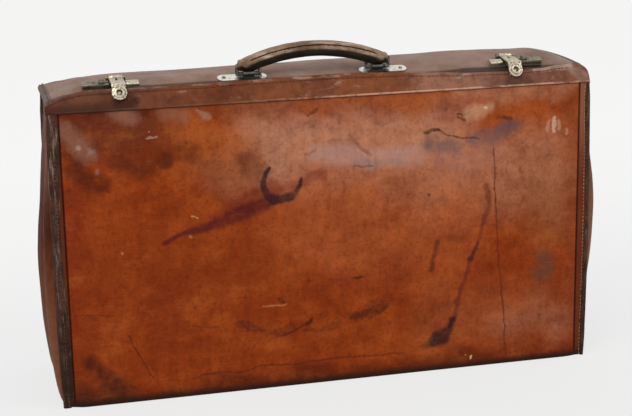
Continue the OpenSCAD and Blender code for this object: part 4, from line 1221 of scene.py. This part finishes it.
# %% Lining
LINING_T, LID_CLOTH_UNDER, LID_CLOTH_REACH = 0.7, 3.9, 291.5
END_X, END_Y, END_PUFF, END_FOOT = 294.6, 71, 7, 9.3


def flat_cloth(name, corner_a, corner_b, across, facing, node):
    """A sheet between two corners; across is the axis that it has no size in."""
    u, v = [a for a in range(3) if a != across]

    def at(along_u, along_v):
        point = list(corner_a)
        point[u], point[v] = along_u, along_v
        point[across] += facing[across] * 0.15 * wave(along_u / 30, along_v / 30, 2.0)
        return point
    rings = [[at(a, b) for a in even(corner_a[u], corner_b[u] - corner_a[u], 40)]
             for b in even(corner_a[v], corner_b[v] - corner_a[v], 24)]
    piece = thicken(grid_through(name, rings, facing=facing), LINING_T)
    dress(piece, lining_cloth, "case", [node], angle=60)
    return piece


def end_cloth(side, word):
    """The sheet of one end; its flat width is its area over its height."""
    def at(y, z):
        out = upright_share(side, z) * bellows(1 - abs(y) / END_Y, END_PUFF)
        return side * (END_X + out - rear_in(side, y, z) + 0.1 * wave(y / 20, z / 20, side)), y, z
    width, height = 138.0, 297.0
    rings = [[at(y, z) for y in even(-width / 2, width, 32)] for z in even(END_FOOT, height, 40)]
    piece = thicken(grid_through(word + "_cloth", rings, facing=(-side, 0, 0)), LINING_T)
    dress(piece, lining_cloth, "case", [word + "_lining"], angle=60)
    return piece


flat_cloth("front_cloth", (-290.5, -70.2, 15.5), (290.5, -70.2, 306), 1, (0, 1, 0), "front_lining")
flat_cloth("back_cloth", (-290.5, 70.2, 15.5), (290.5, 70.2, 306), 1, (0, -1, 0), "back_lining")
flat_cloth("floor_cloth", (-295, -65.5, 8.8), (295, 65.5, 8.8), 2, (0, 0, 1), "base_lining")
for side, word in SIDES:
    end_cloth(side, word)

lid_cloth = lid_sheet("lid_cloth", LID_CLOTH_UNDER, LID_CLOTH_REACH)
turn_over()
thicken(lid_cloth, LINING_T, even_offset=False)
dress(lid_cloth, lining_cloth, "lid", ["lid_lining"], angle=60)

# %% [markdown]
# ## Handle
# The grip is a padded roll of dark leather, sewn along its sides, with a thick loop folded
# round a ring at each end. The roll and the two loops are modelled apart, then remeshed into
# one skin, because folded wet leather has no hard corners; smoothing afterwards rounds it.

# %% Handle
GRIP_X, GRIP_Y, FOOT, ARCH_R, ARCH_Z = -10.0, -45.594, 72.0, 192.143, 182.12
LOOP_Z, GRIP_TURN, SEWN_TURN, SHUT_TURN = 354.4, 24.6, 16.5, 23.7
VOXEL = 0.0007
half_section = [(0, 7.2), (2.6, 7.1), (5.0, 6.5), (6.9, 5.5), (7.8, 4.4), (7.7, 3.4), (6.8, 2.7), (6.5, 2.3),
                (6.9, 1.9), (7.8, 1.2), (8.2, 0.0), (8.0, -1.6), (7.3, -3.8), (6.0, -6.2), (4.2, -8.4),
                (2.2, -9.7), (0, -10.1)]
grip_section = half_section + [(-u, v) for u, v in half_section[-2:0:-1]]
loop_steps = [(352.7, 8.8, 3.0), (353.4, 10.4, 4.2), (355.4, 11.2, 5.4), (358.4, 11.4, 6.4), (361.5, 11.2, 6.8),
              (364.2, 10.0, 6.2)]


def grip_ring(i, degrees):
    a = math.radians(degrees)
    slim = 1 - 0.16 * ease((abs(degrees) - SEWN_TURN) / 6.0)
    shut = math.sqrt(max(0.2, 1 - (max(0.0, abs(degrees) - SHUT_TURN) / 0.95) ** 2))
    ring = []
    for u, v in grip_section:
        r = ARCH_R + v * shut + 0.25 * wave(i / 5, u / 4, v / 4)
        z = max(LOOP_Z + 0.1 * v, ARCH_Z + r * math.cos(a))
        ring.append((GRIP_X + r * math.sin(a), GRIP_Y + u * slim * shut, z))
    return ring


def loop_ring(side, z, half_x, half_y):
    """A rectangle with well rounded corners, round the grip's foot."""
    ring = []
    for k in range(28):
        c, s = math.cos(2 * math.pi * k / 28), math.sin(2 * math.pi * k / 28)
        ring.append((GRIP_X + side * (FOOT + 0.6) + half_x * math.copysign(abs(c) ** 0.5, c),
                     GRIP_Y + half_y * math.copysign(abs(s) ** 0.5, s), z))
    return ring


grip_turns = enumerate(even(-GRIP_TURN, 2 * GRIP_TURN, 100))
handle_parts = [grid_through("handle_leather", [grip_ring(i, a) for i, a in grip_turns], closed=True)]
for side, word in SIDES:
    handle_parts.append(grid_through("loop", [loop_ring(side, *step) for step in loop_steps], closed=True))
handle_leather = join(handle_parts)
modify(handle_leather, "REMESH", mode="VOXEL", voxel_size=VOXEL)
modify(handle_leather, "SMOOTH", factor=0.5, iterations=4)
dress(handle_leather, grip_skin, "handle", ["handle_cover"], angle=70)
print("handle", len(handle_leather.data.polygons))

# %% [markdown]
# ## Stitches
# One stitch is a short fat thread. A row is that stitch repeated by an array, and then each
# copy is set on its seam: a rule for the row says where its middle is, which way it runs
# and which way is out. Old thread is uneven, so some stitches are missing or loose.

# %% Stitches
PITCH, MISSING = 10.0, -0.42
CAP_SEAM_X, GRIP_STITCHES = 296.7, 26


def stitch_row(name, count, seat, length, width, material, body):
    """seat(k) gives a stitch's middle, the way it runs and the way out, in millimetres."""
    fresh()
    bpy.ops.mesh.primitive_uv_sphere_add(segments=8, ring_count=5, radius=0.5)
    row = bpy.context.object
    row.name = name
    kept = [k for k in range(count) if wave(k * 0.73, len(name) * 1.3) > MISSING]
    modify(row, "ARRAY", count=len(kept), use_relative_offset=False, use_constant_offset=True,
           constant_offset_displace=(PITCH, 0, 0))
    for point in row.data.vertices:
        j = round(point.co.x / PITCH)
        middle, along, out = (Vector(v) for v in seat(kept[j]))
        along.normalize()
        out.normalize()
        slack = 0.12 * wave(kept[j] * 1.9, 2.0)
        x, y, z = point.co.x - j * PITCH, point.co.y, point.co.z
        x = math.copysign(abs(2 * x) ** 0.7 / 2, x)
        aside = out.cross(along) * (y * width + slack)
        point.co = (middle + along * (x * length) + aside + out * (z * width * 0.8)) * MM
    return dress(row, material, body, (), angle=80)


def welt_seat(side, front):
    def seat(k):
        z = 3.2 + 4.3 * k
        shift = seam_out(side, z) * ease((STITCH_X - SEAM_FROM) / SEAM_RUN)
        on_welt = (front > 0 or side < 0) * 1.4
        middle = side * (STITCH_X + shift), front * (HALF_D - 0.25 + on_welt), z
        return middle, (0.03 * side, 0, 1), (0, front, 0)
    return seat


def hem_seat(k):
    x = -276 + 4.6 * k
    return on_band(x, 0.15, HEM_UP * band_top(x) / BAND_H), (1, 0, 0), (0, *BAND_OUT)


def cap_seat(side):
    def seat(k):
        x, y = side * CAP_SEAM_X, -50 + 4.5 * k
        return (x, y, lid_height(CAP_X, y) - 0.1 - droop(x, 345)), (0, 1, 0), (0, 0, 1)
    return seat


def grip_seat(front):
    def seat(k):
        a = math.radians(-SEWN_TURN + 2 * SEWN_TURN * k / (GRIP_STITCHES - 1))
        r = ARCH_R + 2.3
        middle = GRIP_X + r * math.sin(a), GRIP_Y + front * 6.8, ARCH_Z + r * math.cos(a)
        return middle, (math.cos(a), 0, -math.sin(a)), (0, front, 0)
    return seat


for side, word in SIDES:
    front_thread = thread if side > 0 else dark_thread
    stitch_row("front_" + word + "_seam_thread", 74, welt_seat(side, -1), 3.0, 0.95, front_thread, "case")
    stitch_row("back_" + word + "_seam_thread", 73, welt_seat(side, 1), 3.0, 0.95, dark_thread, "case")
stitch_row("band_hem_thread", 121, hem_seat, 3.2, 0.8, black_thread, "case")
for side, word in SIDES:
    stitch_row(word + "_cap_thread", 24, cap_seat(side), 3.2, 0.9, dark_thread, "lid")
for front, word in ((-1, "front"), (1, "back")):
    name = "handle_" + word + "_thread"
    stitch_row(name, GRIP_STITCHES, grip_seat(front), 3.0, 0.8, black_thread, "handle")

# %% [markdown]
# ## Metalwork
# The locks, hasps, plates and rings are already exact in the frame, so each is copied from
# its CAD node, merged, and given worn edges by a small bevel. Modelling them again would
# only move them off the places where they turn and slide. The two rims are bent afterwards,
# because they have given way together with the leather round them.

# %% Metalwork
EDGE_ANGLE, FLAT_ANGLE, RIM_BEVEL = 38, 3, 0.3


def softened(node, name, material, body, width):
    """A copy of a CAD node with worn edges, which stands for that node."""
    source = frame["nodes"][node]
    source.hide_set(False)
    pick(source)
    bpy.ops.object.duplicate()
    piece = bpy.context.object
    bpy.ops.object.parent_clear(type="CLEAR_KEEP_TRANSFORM")
    piece.name = name
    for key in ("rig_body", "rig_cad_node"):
        del piece[key]
    edit_all()
    bpy.ops.mesh.remove_doubles(threshold=MERGE)
    bpy.ops.mesh.dissolve_limited(angle_limit=math.radians(FLAT_ANGLE))
    bpy.ops.mesh.normals_make_consistent(inside=False)
    leave()
    bevel(piece, width, EDGE_ANGLE)
    return dress(piece, material, body, [node], EDGE_ANGLE)


# Each side has these: node, metal, body, slot and width of the worn edge. A body that begins
# with an underscore is that side's own.
side_hardware = [
    ("_handle_plate", nickel, "lid", "plate_nickel", 0.35),
    ("_handle_ring", ring_metal, "handle", "plate_nickel", 0.1),
    ("_lock_plate", dark_brass, "lid", "lock_brass", 0.3), ("_lock_case", brass, "lid", "lock_brass", 0.7),
    ("_bolt_guide", dark_brass, "lid", "lock_brass", 0.5), ("_hasp_pin", steel, "lid", "frame_steel", 0.2),
    ("_hasp", brass, "_hasp", "lock_brass", 0.35), ("_staple", brass, "_hasp", "lock_brass", 0.3),
    ("_slide_bolt", dark_brass, "_bolt", "lock_brass", 0.3), ("_keeper", brass, "case", "lock_brass", 0.3),
]
hardware = [(word + node, material, word + body if body[0] == "_" else body, slot, width)
            for side, word in SIDES for node, material, body, slot, width in side_hardware]
hardware += [("handle_rivets", ring_metal, "lid", "plate_nickel", 0.2),
             ("lock_rivets", brass, "lid", "lock_brass", 0.2)]
for node, material, body, slot, width in hardware:
    softened(node, node + "_worn", material, body, width)


def bent_frame(node, name, body, cuts, rule):
    """A steel frame that is cut across at the given places along each axis, so that it can
    follow the rule there."""
    rim = softened(node, name, steel, body, RIM_BEVEL)
    edit_all()
    for axis, places in enumerate(cuts):
        across = [axis == k for k in range(3)]
        for at in places:
            bpy.ops.mesh.select_all(action="SELECT")
            bpy.ops.mesh.bisect(plane_co=[at * MM * k for k in across], plane_no=across)
    bpy.ops.mesh.select_all(action="SELECT")
    bpy.ops.mesh.quads_convert_to_tris()
    leave()
    for point in rim.data.vertices:
        point.co = Vector(rule(*(point.co / MM))) * MM
    return rim


def lid_rim_at(x, y, z):
    """The lid's frame is pressed low under the hanging left corner."""
    return x, y, LID_LOW + (z - LID_LOW) * (1 - 0.60 * ease((-200 - x) / 80))


def mouth_rim_at(x, y, z):
    """The mouth's frame follows the sunken left end."""
    return x + rear_in(-1, y, z) * ease((-280 - x) / 12), y, z


bent_frame("lid_frame", "lid_rim", "lid", [range(-290, -199, 9)], lid_rim_at)
bent_frame("mouth_frame", "mouth_rim", "case", [range(-298, -279, 3), range(-70, 71, 7)], mouth_rim_at)
for node, material in (("pivot_rivets", brass), ("base_board", card), ("handle_core", card)):
    frame["nodes"][node].data.materials.clear()
    frame["nodes"][node].data.materials.append(material)
print("metal pieces", len(hardware))

# %% [markdown]
# ## Floor and light
# The case stands on a pale sheet that fills the view. A soft sky gives even light from all
# round and one large lamp from the upper left gives the hide its sheen. The sheet keeps the
# shadow; only what the camera sees directly of it is lifted to paper white.

# %% Floor and light
FLOOR_SIZE, FLOOR_AT, FLOOR_LIFT = 14, (0, 1.5, 0), 0.80
SKY_COLOUR, SKY_STRENGTH = (1.0, 0.99, 0.97, 1), 0.62
AIM, LAMP_SIZE = Vector((0, 0, 0.2)), 1.6


def seen_rays():
    """1 for what the camera sees, directly or in a reflection; 0 for what lights the case."""
    path = put("LightPath").outputs
    both = plus(path["Is Camera Ray"], path["Is Glossy Ray"], True)
    return plus(both, path["Is Transmission Ray"], True)


fresh()
bpy.ops.mesh.primitive_plane_add(size=FLOOR_SIZE, location=FLOOR_AT)
floor = bpy.context.object
floor.name = "floor"
sheet_paper, shader, place = begin("pale floor")
for key, value in (("Base Color", linear("e4e3e1")), ("Roughness", 0.9), ("Specular IOR Level", 0.1)):
    shader.inputs[key].default_value = value
depth = axes(place)[1]
paper = put("Emission", {"Color": mix(fade(depth, -1.9, -0.2), "eff0f0", "ffffff")})
seen = times(seen_rays(), FLOOR_LIFT)
shown = put("MixShader", {0: seen, 1: shader.outputs[0], 2: paper.outputs[0]})
link(shown.outputs[0], sheet_paper.node_tree.nodes["Material Output"].inputs["Surface"])
floor.data.materials.append(sheet_paper)

world = bpy.data.worlds.new("sky")
world.use_nodes = True
at_work["tree"] = world.node_tree
sky = world.node_tree.nodes["Background"]
sky.inputs["Color"].default_value = SKY_COLOUR
sky.inputs["Strength"].default_value = SKY_STRENGTH
wall = put("Background", {"Color": linear("f4f4f3"), "Strength": 1.0})
shown = put("MixShader", {0: seen_rays(), 1: sky.outputs[0], 2: wall.outputs[0]})
link(shown.outputs[0], world.node_tree.nodes["World Output"].inputs["Surface"])
bpy.context.scene.world = world


def lamp(name, at, power):
    """A square lamp that is aimed at the case."""
    bpy.ops.object.light_add(type="AREA", location=at)
    light = bpy.context.object
    light.name = name
    light.data.shape = "RECTANGLE"
    light.data.size = light.data.size_y = LAMP_SIZE
    light.data.energy = power
    light.rotation_euler = (AIM - Vector(at)).to_track_quat("-Z", "Y").to_euler()
    return light


lamp("window", (-1.2, -1.6, 2.2), 34)
lamp("room", (1.6, -1.2, 1.6), 12)
